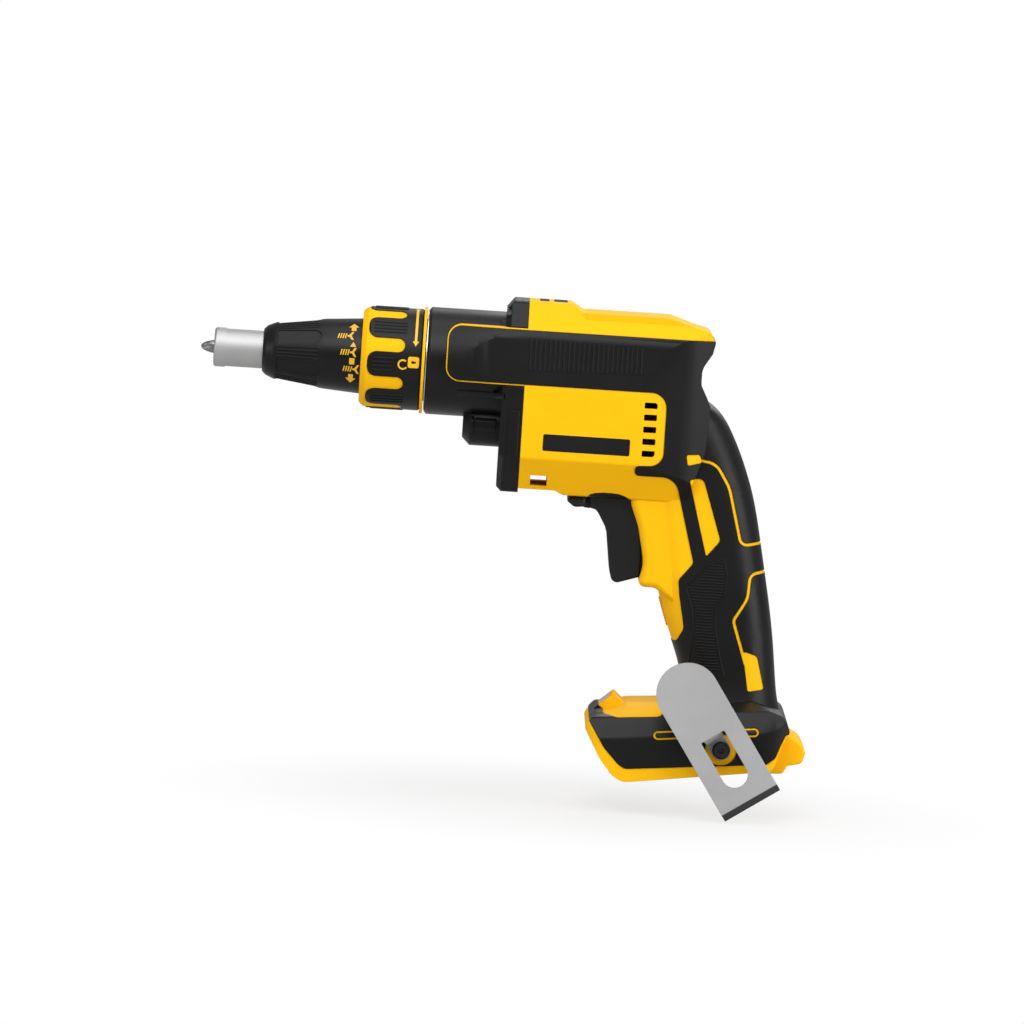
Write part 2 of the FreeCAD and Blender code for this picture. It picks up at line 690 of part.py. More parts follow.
def sector(x, length, outer, inner, angle, z=0):
    """Ring sector centred on +Z, turned about the X axis through height z."""
    ring = tube(x, length, outer, inner, 0, z)
    half = math.radians(angle / 2)
    far = outer * 2
    corners = [vec(x - OVERRUN, 0, z), vec(x - OVERRUN, far * math.sin(half), z + far * math.cos(half)),
               vec(x - OVERRUN, -far * math.sin(half), z + far * math.cos(half))]
    wedge = Part.Face(Part.makePolygon(corners + corners[:1])).extrude(X_AXIS * (length + 2 * OVERRUN))
    return ring.common(wedge)


# Drive line pieces

def driver_bit():
    """Cross-recess insert bit: hexagon, turned neck and a fluted point."""
    neck_end = BIT_TIP_LENGTH + BIT_NECK_LENGTH
    neck = turned([(0, 0), (0, BIT_TIP_RADIUS), (BIT_TIP_LENGTH, BIT_NECK_RADIUS),
                   (neck_end, BIT_NECK_RADIUS), (neck_end, 0)])
    shank = hexagon(neck_end, BIT_LENGTH - neck_end, BIT_ACROSS_FLATS)
    flute = Part.makeCone(BIT_FLUTE_RADIUS, 0, BIT_TIP_LENGTH, vec(0, 0, BIT_FLUTE_OFFSET), X_AXIS)
    return shank.fuse(neck).cut(turned_copies(flute, BIT_FLUTE_COUNT, 180 / BIT_FLUTE_COUNT)).removeSplitter()


def bit_holder():
    body = turned([(HOLDER_X, 0), (HOLDER_X, HOLDER_RADIUS - HOLDER_CHAMFER),
                   (HOLDER_X + HOLDER_CHAMFER, HOLDER_RADIUS), (SHANK_X, HOLDER_RADIUS), (SHANK_X, 0)])
    shank = hexagon(SHANK_X - OVERRUN, SHANK_LENGTH + OVERRUN, BIT_ACROSS_FLATS)
    socket = hexagon(HOLDER_X - OVERRUN, BIT_SEAT_DEPTH + SEAT_GAP + OVERRUN, BIT_ACROSS_FLATS + 2 * SEAT_GAP)
    pocket = rod(BIT_LENGTH, MAGNET_LENGTH + 2 * SEAT_GAP, MAGNET_RADIUS + SEAT_GAP)
    return body.fuse(shank).cut([socket, pocket])


def bit_magnet():
    return rod(BIT_LENGTH + SEAT_GAP, MAGNET_LENGTH, MAGNET_RADIUS)


def bit_locator():
    """Steel sleeve round the bit that meets the board."""
    return turned([(SLEEVE_X, SLEEVE_BORE_RADIUS), (SLEEVE_X, SLEEVE_RADIUS - SLEEVE_CHAMFER),
                   (SLEEVE_X + SLEEVE_CHAMFER, SLEEVE_RADIUS), (SLEEVE_END, SLEEVE_RADIUS),
                   (SLEEVE_END, SLEEVE_BORE_RADIUS)])


def nose_cone():
    bore = SLEEVE_RADIUS + SEAT_GAP
    shell = turned([
        (CONE_X, bore), (CONE_X, CONE_FRONT_RADIUS - CONE_EDGE_RADIUS),
        (CONE_X + CONE_EDGE_RADIUS, CONE_FRONT_RADIUS), (CONE_X + CONE_NECK_LENGTH, CONE_NECK_RADIUS),
        (CONE_X + CONE_MID_LENGTH, CONE_MID_RADIUS), (COLLAR_X, CONE_REAR_RADIUS),
        (CONE_END, CONE_REAR_RADIUS), (CONE_END, CONE_SKIRT_BORE_RADIUS),
        (SLEEVE_END + SLEEVE_RADIUS, CONE_SKIRT_BORE_RADIUS), (SLEEVE_END + SIDE_GAP, bore)])
    panels = []
    panel_x = CONE_X + CONE_NECK_LENGTH + CONE_PANEL_SETBACK
    rise = math.atan2(CONE_MID_RADIUS - CONE_NECK_RADIUS, CONE_MID_LENGTH - CONE_NECK_LENGTH)
    panel_z = CONE_NECK_RADIUS + CONE_PANEL_SETBACK * math.tan(rise)
    half = CONE_PANEL_WIDTH / 2
    for index in range(CONE_PANEL_COUNT):
        panel = block(0, CONE_PANEL_LENGTH - half, -half, half, -CONE_PANEL_DEPTH, OVERRUN)
        round_end = Part.makeCylinder(half, CONE_PANEL_DEPTH + OVERRUN,
                                      vec(CONE_PANEL_LENGTH - half, 0, -CONE_PANEL_DEPTH), Z_AXIS)
        panel = panel.fuse(round_end)
        panel.rotate(vec(0, 0, 0), Y_AXIS, -math.degrees(rise))
        panel.translate(vec(panel_x, 0, panel_z))
        panel.rotate(vec(0, 0, 0), X_AXIS, CONE_PANEL_TURN + 360 * index / CONE_PANEL_COUNT)
        panels.append(panel)
    return shell.cut(panels)


def depth_ring():
    """Threaded carrier inside the collar that moves the nose cone."""
    groove_x = RING_X + RING_NECK_LENGTH / 2
    groove = Part.makeTorus(RING_NECK_RADIUS, O_RING_WIRE_RADIUS + SEAT_GAP, vec(groove_x, 0, 0), X_AXIS)
    body = turned([(RING_X, RING_BORE_RADIUS), (RING_X, RING_NECK_RADIUS), (RING_FLANGE_X, RING_NECK_RADIUS),
                   (RING_FLANGE_X, RING_FLANGE_RADIUS), (RING_END, RING_FLANGE_RADIUS),
                   (RING_END, RING_BORE_RADIUS)])
    return body.cut(groove)


def nose_o_ring():
    centre = vec(RING_X + RING_NECK_LENGTH / 2, 0, 0)
    return Part.makeTorus(RING_NECK_RADIUS, O_RING_WIRE_RADIUS, centre, X_AXIS)


def finger_blocks(gap):
    """Places of the collar's fingers, round at the tip and flared at the root, widened by a gap."""
    half = COLLAR_FINGER_WIDTH / 2 + gap
    root = COLLAR_X + COLLAR_FRONT_RING_LENGTH + gap
    tip = COLLAR_X + COLLAR_FINGER_LENGTH + gap
    spread = half + 2 * COLLAR_ROOT_RADIUS + COLLAR_LAND
    plan = [(root - COLLAR_LAND, spread, 0), (root, spread, 0), (root, half, COLLAR_ROOT_RADIUS),
            (tip, half, half)]
    plan += [(x, -y, radius) for x, y, radius in reversed(plan)]
    corners = [vec(x, y, COLLAR_BODY_RADIUS / 2) for x, y, radius in plan]
    face = Part.Face(rounded_wire(corners, [radius for x, y, radius in plan]))
    finger = face.extrude(Z_AXIS * COLLAR_REAR_RING_RADIUS)
    return turned_copies(finger, COLLAR_FINGER_COUNT, COLLAR_FINGER_TURN)


def depth_collar():
    ring_x = COLLAR_END - COLLAR_REAR_RING_LENGTH
    front_end = COLLAR_X + COLLAR_FRONT_RING_LENGTH
    bore_x = COLLAR_X + COLLAR_LIP_LENGTH
    body = turned([
        (COLLAR_X, COLLAR_FRONT_BORE_RADIUS), (COLLAR_X, COLLAR_FRONT_RADIUS - COLLAR_EDGE_RADIUS),
        (COLLAR_X + COLLAR_EDGE_RADIUS, COLLAR_FRONT_RADIUS),
        (front_end - COLLAR_LAND, COLLAR_FINGER_RADIUS), (front_end, COLLAR_FINGER_RADIUS),
        (front_end, COLLAR_BODY_RADIUS), (ring_x, COLLAR_BODY_RADIUS),
        (ring_x, COLLAR_REAR_RING_RADIUS), (COLLAR_END, COLLAR_REAR_RING_RADIUS),
        (COLLAR_END, COLLAR_BORE_RADIUS), (bore_x, COLLAR_BORE_RADIUS), (bore_x, COLLAR_FRONT_BORE_RADIUS)])
    band = tube(front_end - COLLAR_LAND, COLLAR_FINGER_LENGTH, COLLAR_FINGER_RADIUS, COLLAR_BODY_RADIUS)
    fingers = [band.common(finger) for finger in finger_blocks(0)]
    snap_x = CASE_X - SNAP_RING_OFFSET - SIDE_GAP
    snap_groove = rod(snap_x, SNAP_RING_WIDTH + 2 * SIDE_GAP, SNAP_RING_RADIUS + SIDE_GAP)
    return body.fuse(fingers).cut(snap_groove)


def collar_grip():
    """Rubber pads between the fingers, joined by a band at the rear."""
    start = COLLAR_X + COLLAR_FRONT_RING_LENGTH + SEAT_GAP
    end = COLLAR_END - COLLAR_REAR_RING_LENGTH - SEAT_GAP
    under = COLLAR_BODY_RADIUS + SEAT_GAP
    edge = GRIP_RADIUS - GRIP_EDGE_RADIUS
    band = turned([(start, under), (start, edge), (start + GRIP_EDGE_RADIUS, GRIP_RADIUS),
                   (end - GRIP_EDGE_RADIUS, GRIP_RADIUS), (end, edge), (end, under)])
    return band.cut(finger_blocks(SEAT_GAP))


def collar_snap_ring():
    ring = tube(CASE_X - SNAP_RING_OFFSET, SNAP_RING_WIDTH, SNAP_RING_RADIUS,
                SNAP_RING_BORE_RADIUS + SEAT_GAP)
    slit = block(CASE_X - CASE_LENGTH, SEAM_X, -SNAP_RING_WIDTH, SNAP_RING_WIDTH, 0, SNAP_RING_RADIUS * 2)
    return ring.cut(slit)


def collar_washer():
    return tube(CASE_X - SEAT_GAP - WASHER_THICKNESS, WASHER_THICKNESS, WASHER_RADIUS, WASHER_BORE_RADIUS)


def body_section(inset):
    """Outline of the motor housing across the tool."""
    right = [(BODY_TOP_HALF, BODY_TOP_Z), (BODY_SHOULDER_HALF, BODY_SHOULDER_Z), (BODY_HALF, -BODY_SIDE_Z),
             (BODY_HALF, -BODY_CREASE_Z), (BODY_BOTTOM_HALF, BODY_BOTTOM_Z)]
    radii = [BODY_CORNER_RADIUS] * 3 + [BODY_CREASE_RADIUS] * 2
    points = [vec(0, y, z) for y, z in right] + [vec(0, -y, z) for y, z in reversed(right)]
    return inset_wire(rounded_wire(points, radii + radii[::-1]), inset)


def body_bar(x_from, x_to, inset=0):
    face = Part.Face(body_section(inset))
    face.translate(vec(x_from, 0, 0))
    return face.extrude(X_AXIS * (x_to - x_from))


def ear_zone(grow):
    """Side view of the panel that reaches over the gear case, as a prism."""
    x_from = SEAM_X - EAR_START - grow
    x_to = SEAM_X + OVERRUN
    corners = [vec(x_from, 0, EAR_TOP_Z + grow), vec(x_to, 0, EAR_TOP_Z + grow),
               vec(x_to, 0, -EAR_BOTTOM_Z - grow), vec(x_from, 0, -EAR_BOTTOM_Z - grow)]
    return side_prism(rounded_wire(corners, [EAR_RADIUS + grow, 0, 0, EAR_RADIUS + grow]), BODY_HALF * 2)


def ears(inset):
    """Both side panels as solids outside the gear case barrel."""
    cone = Part.makeCone(EAR_FRONT_RADIUS - inset, EAR_REAR_RADIUS - inset, EAR_START + OVERRUN,
                         vec(SEAM_X - EAR_START, 0, 0), X_AXIS)
    bar = body_bar(SEAM_X - EAR_START - OVERRUN, SEAM_X + OVERRUN, inset)
    barrel = rod(SEAM_X - CASE_LENGTH, CASE_LENGTH + HOUSING_LENGTH, BARREL_RADIUS + SIDE_GAP)
    return cone.common(bar).common(ear_zone(0)).cut(barrel)


def case_screw_places():
    places = []
    for y_share, z_share in CASE_SCREW_SHARES:
        z = z_share * (BODY_TOP_Z if z_share > 0 else -BODY_BOTTOM_Z)
        places.append((y_share * BODY_HALF, z))
        places.append((-y_share * BODY_HALF, z))
    return places


def gear_plate_blank(x, length, grow):
    lower = rod(x, length, MOTOR_PLATE_RADIUS + grow, 0, MOTOR_Z)
    return rod(x, length, GEAR_PLATE_RADIUS + grow).fuse(lower)


def gear_case():
    """Black front housing: barrel, hump over the gear, pinion boss, flange and inner snout."""
    barrel = turned([(CASE_X, 0), (CASE_X, BARREL_RADIUS - BARREL_EDGE_RADIUS),
                     (CASE_X + BARREL_EDGE_RADIUS, BARREL_RADIUS), (SEAM_X, BARREL_RADIUS), (SEAM_X, 0)])
    flange = body_bar(FLANGE_X, SEAM_X).common(rod(FLANGE_X, FLANGE_LENGTH, HOUSING_DROP))
    front_edges = [edge for edge in flange.Edges if abs(edge.BoundBox.XMax - FLANGE_X) < SEAT_GAP]
    flange = flange.makeChamfer(FLANGE_CHAMFER, front_edges)
    hump_x = SEAM_X - HUMP_LENGTH
    slope = [vec(FLANGE_X - OVERRUN, 0, BODY_TOP_Z * 2), vec(hump_x + HUMP_SLOPE_LENGTH, 0, BODY_TOP_Z),
             vec(hump_x, 0, BARREL_RADIUS), vec(FLANGE_X - OVERRUN, 0, BARREL_RADIUS)]
    flange = flange.cut(side_prism(Part.makePolygon(slope + slope[:1]), BODY_HALF * 2))
    boss_x = SEAM_X - PINION_BOSS_LENGTH
    boss = Part.makeCone(PINION_BOSS_RADIUS - PINION_BOSS_CHAMFER, PINION_BOSS_RADIUS, PINION_BOSS_CHAMFER,
                         vec(boss_x, 0, MOTOR_Z), X_AXIS)
    boss = boss.fuse(rod(boss_x + PINION_BOSS_CHAMFER, PINION_BOSS_LENGTH - PINION_BOSS_CHAMFER,
                         PINION_BOSS_RADIUS, 0, MOTOR_Z))
    spigot = rod(CASE_X - SPIGOT_LENGTH, SPIGOT_LENGTH + CASE_WALL, COLLAR_BORE_RADIUS - RUN_GAP)
    snout = rod(SNOUT_X, SNOUT_LENGTH + CASE_WALL, SNOUT_RADIUS)
    solid = barrel.fuse([flange, boss, spigot, snout])
    ear_room = ear_zone(SIDE_GAP).cut(rod(CASE_X - OVERRUN, CASE_LENGTH + HOUSING_LENGTH, BARREL_RADIUS))
    gear_tip = GEAR_MODULE * (GEAR_TEETH / 2 + GEAR_ADDENDUM_SHARE) + GEAR_CHAMBER_GAP
    snap_groove = tube(CASE_X - SNAP_RING_OFFSET - SEAT_GAP, SNAP_RING_WIDTH + 2 * SEAT_GAP,
                       COLLAR_BORE_RADIUS * 2, SNAP_RING_BORE_RADIUS)
    rooms = [
        rod(SNOUT_X - OVERRUN, SNOUT_LENGTH + CASE_LENGTH, BUSH_RADIUS + SEAT_GAP),
        rod(CASE_X + CASE_WALL, CASE_LENGTH, CLUTCH_CHAMBER_RADIUS),
        rod(GEAR_X - MOVE_GAP, CASE_LENGTH, gear_tip),
        rod(GEAR_X - MOVE_GAP, CASE_LENGTH, PINION_CHAMBER_RADIUS, 0, MOTOR_Z),
        gear_plate_blank(GEAR_PLATE_X, GEAR_PLATE_LENGTH, SEAT_GAP),
        snap_groove, ear_room]
    for y, z in case_screw_places():
        rooms.append(rod(FLANGE_X - OVERRUN, FLANGE_LENGTH + 2 * OVERRUN, CASE_SCREW_RADIUS + RUN_GAP, y, z))
        rooms.append(rod(FLANGE_X - OVERRUN, OVERRUN + CASE_SCREW_HEAD_LENGTH,
                         CASE_SCREW_HEAD_RADIUS + SIDE_GAP, y, z))
    return solid.cut(rooms)


def gear_case_screws():
    screws = []
    for y, z in case_screw_places():
        head_x = FLANGE_X
        head = rod(head_x, CASE_SCREW_HEAD_LENGTH, CASE_SCREW_HEAD_RADIUS, y, z)
        shank = rod(head_x, FLANGE_LENGTH + CASE_SCREW_GRIP, CASE_SCREW_RADIUS, y, z)
        socket = hexagon(head_x - OVERRUN, OVERRUN + CASE_SCREW_HEAD_LENGTH / 2, CASE_SCREW_SOCKET)
        socket.translate(vec(0, y, z))
        screws.append(head.fuse(shank).cut(socket))
    return Part.makeCompound(screws)


def spindle_bush():
    start = SNOUT_X + SIDE_GAP
    return tube(start, BUSH_LENGTH, BUSH_RADIUS, SPINDLE_RADIUS + RUN_GAP)


def jaws(x, length, first_angle):
    return turned_copies(sector(x, length, DISC_RADIUS, JAW_BORE_RADIUS, JAW_ANGLE), JAW_COUNT, first_angle)


def spindle():
    """Output spindle: hex socket in front, clutch disc with jaws and a pilot tail."""
    body = rod(SPINDLE_X, DISC_END - SPINDLE_X, SPINDLE_RADIUS)
    disc = rod(DISC_X, DISC_LENGTH, DISC_RADIUS)
    tail = rod(DISC_END - OVERRUN, OVERRUN + SPINDLE_TAIL_LENGTH, SPINDLE_TAIL_RADIUS)
    teeth = jaws(DISC_END - SEAT_GAP, SPINDLE_JAW_LENGTH + SEAT_GAP, 0.0)
    socket = hexagon(SPINDLE_X - OVERRUN, OVERRUN + SHANK_LENGTH, BIT_ACROSS_FLATS + 2 * SEAT_GAP)
    return body.fuse([disc, tail] + teeth).cut(socket)


def thrust_washer():
    return tube(DISC_END + SEAT_GAP, THRUST_WASHER_LENGTH - 2 * SEAT_GAP, THRUST_WASHER_RADIUS,
                SPINDLE_TAIL_RADIUS + RUN_GAP)


def clutch_spring():
    return coil(vec(SPRING_X, 0, 0), X_AXIS, SPRING_END - SPRING_X, CLUTCH_SPRING_RADIUS,
                CLUTCH_SPRING_WIRE_RADIUS, CLUTCH_SPRING_TURNS)


def output_gear():
    wheel = toothed_wheel(GEAR_X, GEAR_FACE, GEAR_TEETH, GEAR_ADDENDUM_SHARE, 0, math.pi)
    hub = rod(GEAR_HUB_X, GEAR_HUB_LENGTH + OVERRUN, DISC_RADIUS)
    rear_hub = rod(GEAR_END - OVERRUN, OVERRUN + GEAR_END_GAP + GEAR_BEARING_WIDTH, GEAR_HUB_RADIUS)
    teeth = jaws(GEAR_HUB_X - GEAR_JAW_LENGTH, GEAR_JAW_LENGTH + SEAT_GAP, 180.0 / JAW_COUNT)
    recess = rod(GEAR_HUB_X - OVERRUN, SPRING_END - GEAR_HUB_X + OVERRUN, JAW_BORE_RADIUS - SIDE_GAP)
    bore = rod(GEAR_X - CASE_LENGTH, CASE_LENGTH * 2, SPINDLE_TAIL_RADIUS + RUN_GAP)
    return wheel.fuse([hub, rear_hub] + teeth).cut([recess, bore])


def gear_bearing():
    return ball_bearing(GEAR_PLATE_X + SEAT_GAP, GEAR_BEARING_WIDTH, GEAR_BEARING_RADIUS,
                        GEAR_HUB_RADIUS + RUN_GAP, 0, GEAR_BEARING_BALLS)


def gear_plate():
    """Plate between the gear case and the motor that seats two bearings."""
    blank = gear_plate_blank(GEAR_PLATE_X, GEAR_PLATE_LENGTH, 0)
    motor_seat_x = GEAR_PLATE_END - MOTOR_BEARING_WIDTH
    rooms = [rod(GEAR_PLATE_X - OVERRUN, OVERRUN + GEAR_BEARING_WIDTH + 2 * SEAT_GAP,
                 GEAR_BEARING_RADIUS + SEAT_GAP),
             rod(motor_seat_x - SEAT_GAP, MOTOR_BEARING_WIDTH + OVERRUN, MOTOR_BEARING_RADIUS + SEAT_GAP,
                 0, MOTOR_Z),
             rod(GEAR_PLATE_X - OVERRUN, GEAR_PLATE_LENGTH + 2 * OVERRUN, PINION_CHAMBER_RADIUS, 0, MOTOR_Z)]
    return blank.cut(rooms)


# Motor pieces

def front_bearing():
    return ball_bearing(GEAR_PLATE_END - MOTOR_BEARING_WIDTH, MOTOR_BEARING_WIDTH, MOTOR_BEARING_RADIUS,
                        SHAFT_RADIUS + RUN_GAP, MOTOR_Z, MOTOR_BEARING_BALLS)


def rear_bearing():
    return ball_bearing(REAR_BEARING_X, MOTOR_BEARING_WIDTH, MOTOR_BEARING_RADIUS, SHAFT_RADIUS + RUN_GAP,
                        MOTOR_Z, MOTOR_BEARING_BALLS)


def motor_shaft():
    return rod(GEAR_X, REAR_BEARING_X + MOTOR_BEARING_WIDTH - GEAR_X, SHAFT_RADIUS, 0, MOTOR_Z)


def pinion():
    half_pitch = math.pi / PINION_TEETH
    wheel = toothed_wheel(GEAR_X, GEAR_FACE, PINION_TEETH, PINION_ADDENDUM_SHARE, MOTOR_Z, half_pitch)
    return wheel.cut(rod(GEAR_X - OVERRUN, GEAR_FACE + 2 * OVERRUN, SHAFT_RADIUS + SEAT_GAP, 0, MOTOR_Z))


def rotor_core():
    return tube(STATOR_X, STATOR_LENGTH, ROTOR_RADIUS, SHAFT_RADIUS + SEAT_GAP, 0, MOTOR_Z)


def rotor_magnets():
    magnet = sector(STATOR_X, STATOR_LENGTH, ROTOR_RADIUS + MAGNET_SHELL, ROTOR_RADIUS + SEAT_GAP,
                    ROTOR_MAGNET_ANGLE, MOTOR_Z)
    return Part.makeCompound(turned_copies(magnet, ROTOR_MAGNET_COUNT, 0.0, MOTOR_Z))


def cooling_fan():
    disc = tube(FAN_X, FAN_DISC_THICKNESS, FAN_RADIUS, SHAFT_RADIUS + SEAT_GAP, 0, MOTOR_Z)
    hub = tube(FAN_X, FAN_LENGTH, FAN_HUB_RADIUS, SHAFT_RADIUS + SEAT_GAP, 0, MOTOR_Z)
    blade = block(FAN_X, FAN_X + FAN_LENGTH, -FAN_BLADE_THICKNESS / 2, FAN_BLADE_THICKNESS / 2,
                  MOTOR_Z + FAN_BLADE_START, MOTOR_Z + FAN_RADIUS - FAN_BLADE_THICKNESS)
    return disc.fuse([hub] + turned_copies(blade, FAN_BLADE_COUNT, 0.0, MOTOR_Z))


def stator_core():
    ring = tube(STATOR_X, STATOR_LENGTH, STATOR_RADIUS, STATOR_RADIUS - STATOR_BACK, 0, MOTOR_Z)
    tooth = block(STATOR_X, STATOR_END, -STATOR_TOOTH_WIDTH / 2, STATOR_TOOTH_WIDTH / 2,
                  MOTOR_Z, MOTOR_Z + STATOR_RADIUS - STATOR_BACK / 2)
    teeth = turned_copies(tooth, STATOR_TEETH, 0.0, MOTOR_Z)
    bore = rod(STATOR_X - OVERRUN, STATOR_LENGTH + 2 * OVERRUN, STATOR_BORE_RADIUS, 0, MOTOR_Z)
    return ring.fuse(teeth).cut(bore)


def stator_coils():
    start = STATOR_X - COIL_OVERHANG
    end = STATOR_END + COIL_OVERHANG
    z_from = MOTOR_Z + STATOR_BORE_RADIUS + COIL_INSET
    z_to = MOTOR_Z + STATOR_RADIUS - STATOR_BACK - COIL_INSET / 2
    outer = block(start, end, -COIL_WIDTH / 2, COIL_WIDTH / 2, z_from, z_to)
    room = STATOR_TOOTH_WIDTH / 2 + SEAT_GAP
    inner = block(STATOR_X - SEAT_GAP, STATOR_END + SEAT_GAP, -room, room, z_from - OVERRUN, z_to + OVERRUN)
    return Part.makeCompound(turned_copies(outer.cut(inner), STATOR_TEETH, 0.0, MOTOR_Z))


def sensor_board():
    return tube(SENSOR_X, SENSOR_BOARD_THICKNESS, SENSOR_BOARD_RADIUS, FAN_HUB_RADIUS + MOVE_GAP, 0, MOTOR_Z)


# Trigger, switch and electronics

def trigger():
    """Curved trigger with two wings that reach up beside the direction lever."""
    body = soft_prism(side_wire(TRIGGER_SHARES), TRIGGER_HALF, TRIGGER_EDGE_RADIUS)
    wing = side_wire(TRIGGER_WING_SHARES)
    inside = TRIGGER_HALF - TRIGGER_WING_WIDTH
    wings = [side_slab(wing, -TRIGGER_HALF, -inside), side_slab(wing, inside, TRIGGER_HALF)]
    return body.fuse(wings)


def plunger_start():
    rear_x = SEAM_X + TRIGGER_SHARES[-1][0] * HOUSING_LENGTH
    return vec(rear_x, 0, TRIGGER_SHARES[-1][1] * HOUSING_DROP - PLUNGER_DROP)


def switch_front():
    return plunger_start().x + TRIGGER_TRAVEL + TRIGGER_STOP_GAP


def switch_plunger():
    start = plunger_start() + TRIGGER_AXIS * (SIDE_GAP + PLUNGER_RADIUS * math.tan(TRIGGER_TURN))
    return Part.makeCylinder(PLUNGER_RADIUS, PLUNGER_LENGTH, start, TRIGGER_AXIS)


def trigger_spring():
    gap = TRIGGER_SPRING_RADIUS + TRIGGER_SPRING_WIRE_RADIUS
    shift = SIDE_GAP + gap * math.tan(TRIGGER_TURN)
    start = plunger_start() + TRIGGER_AXIS * shift
    length = TRIGGER_TRAVEL + TRIGGER_STOP_GAP - 2 * shift
    return coil(start, TRIGGER_AXIS, length, TRIGGER_SPRING_RADIUS, TRIGGER_SPRING_WIRE_RADIUS,
                TRIGGER_SPRING_TURNS)


def lever_floor():
    return SWITCH_TOP_SHARE * HOUSING_DROP + LEVER_LIFT


def lever_pivot_x():
    return SEAM_X + LEVER_PIVOT_SHARE * HOUSING_LENGTH


def switch_box(grow):
    top = SWITCH_TOP_SHARE * HOUSING_DROP
    x = switch_front()
    return block(x - grow, x + SWITCH_LENGTH + grow, -SWITCH_HALF - grow, SWITCH_HALF + grow,
                 top - SWITCH_HEIGHT - grow, top + grow)


def switch_body():
    """Trigger switch with the plunger's bore and the lever's pivot post."""
    bore = Part.makeCylinder(PLUNGER_RADIUS + SIDE_GAP, TRIGGER_TRAVEL + PLUNGER_LENGTH + PLUNGER_RADIUS,
                             plunger_start(), TRIGGER_AXIS)
    top = SWITCH_TOP_SHARE * HOUSING_DROP
    foot = vec(lever_pivot_x(), 0, top)
    post = Part.makeCylinder(LEVER_PIVOT_RADIUS, LEVER_LIFT + LEVER_THICKNESS, foot, Z_AXIS)
    shoulder = Part.makeCylinder(LEVER_HUB_RADIUS, LEVER_LIFT - SIDE_GAP, foot, Z_AXIS)
    return switch_box(0).cut(bore).fuse([post, shoulder])


def direction_lever():
    """Forward and reverse lever: hub on the switch, arm over the trigger and a cross tip."""
    floor = lever_floor()
    arm_x = SEAM_X + LEVER_TIP_SHARES[1][0] * HOUSING_LENGTH
    hub = Part.makeCylinder(LEVER_HUB_RADIUS, LEVER_THICKNESS, vec(lever_pivot_x(), 0, floor), Z_AXIS)
    arm = block(arm_x, lever_pivot_x(), -LEVER_ARM_HALF, LEVER_ARM_HALF, floor, floor + LEVER_THICKNESS)
    tip = soft_prism(side_wire(LEVER_TIP_SHARES), LEVER_TIP_HALF, LEVER_TIP_EDGE_RADIUS)
    hole = Part.makeCylinder(LEVER_PIVOT_RADIUS + RUN_GAP, LEVER_THICKNESS + 2 * OVERRUN,
                             vec(lever_pivot_x(), 0, floor - OVERRUN), Z_AXIS)
    spine = side_prism(side_wire(LEVER_SPINE_SHARES), LEVER_ARM_HALF)
    return hub.fuse([arm, tip, spine]).cut(hole)


def module_box(grow):
    x = SEAM_X + MODULE_START
    return block(x - grow, x + MODULE_LENGTH + grow, -MODULE_HALF - grow, MODULE_HALF + grow,
                 MODULE_BASE_Z - grow, MODULE_BASE_Z + MODULE_HEIGHT + grow)


def control_module():
    solid = module_box(0)
    upright = [edge for edge in solid.Edges if edge.BoundBox.ZLength > MODULE_HEIGHT / 2]
    return solid.makeFillet(MODULE_EDGE_RADIUS, upright)


def phase_leads():
    """Three leads from the upper coils straight up to the module."""
    wires = []
    x = SEAM_X + PHASE_LEAD_START
    coil_radius = STATOR_RADIUS - STATOR_BACK - COIL_INSET / 2
    for index in (-1, 0, 1):
        turn = abs(index) * math.radians(PHASE_ANGLE)
        inner_y = abs(index) * (PHASE_LEAD_SPREAD - LEAD_RADIUS)
        z = MOTOR_Z + (coil_radius - inner_y * math.sin(turn)) / math.cos(turn) + SEAT_GAP
        foot = vec(x, index * PHASE_LEAD_SPREAD, z)
        wires.append(Part.makeCylinder(LEAD_RADIUS, MODULE_BASE_Z - SEAT_GAP - z, foot, Z_AXIS))
    return wires


def switch_lead_routes():
    """Two leads from the switch up behind the motor to the rear of the module."""
    top = SWITCH_TOP_SHARE * HOUSING_DROP
    module_end = SEAM_X + MODULE_START + MODULE_LENGTH
    middle_z = MODULE_BASE_Z + MODULE_HEIGHT / 2
    x = switch_front() + SWITCH_LENGTH - LEAD_EDGE_RUN
    low, middle, high = [share * top for share in SWITCH_LEAD_SHARES]
    routes = []
    for y in (-LEAD_SPREAD, LEAD_SPREAD):
        routes.append([vec(x, y, top + SEAT_GAP), vec(x, y, low), vec(x - LEAD_BACK_RUN, y, middle),
                       vec(module_end + LEAD_REAR_RUN, y, high), vec(module_end + LEAD_TURN_RUN, y, middle_z),
                       vec(module_end + SEAT_GAP, y, middle_z)])
    return routes


def battery_lead_routes():
    """Two leads from the terminal block up the handle to the switch."""
    bottom = SWITCH_TOP_SHARE * HOUSING_DROP - SWITCH_HEIGHT
    x = switch_front() + SWITCH_LENGTH / 2
    roof = bay_point(TERMINAL_X, BAY_HEIGHT + BAY_WALL)
    low, middle, high = [roof.z + share * (bottom - roof.z) for share in BATTERY_LEAD_SHARES]
    start = bay_point(TERMINAL_X, BAY_HEIGHT)
    routes = []
    for y in (-LEAD_SPREAD, LEAD_SPREAD):
        routes.append([vec(start.x, y, start.z + SEAT_GAP + LEAD_RADIUS * FOOT_RUN), vec(start.x, y, low),
                       vec((start.x + x) / 2, y, middle), vec(x, y, high), vec(x, y, bottom - SEAT_GAP)])
    return routes


def leads(routes):
    return [pipe(route, LEAD_RADIUS) for route in routes]


# Foot, battery bay and lamp

def bay_point(x, height):
    """Point above the foot's tilted underside."""
    front = side(FOOT_SHARES[-3][0], FOOT_SHARES[-3][1])
    return vec(x, 0, front.z + (x - front.x) * FOOT_RUN + height)


TERMINAL_X = SEAM_X + BAY_END_SHARE * HOUSING_LENGTH - TERMINAL_BLOCK_LENGTH / 2


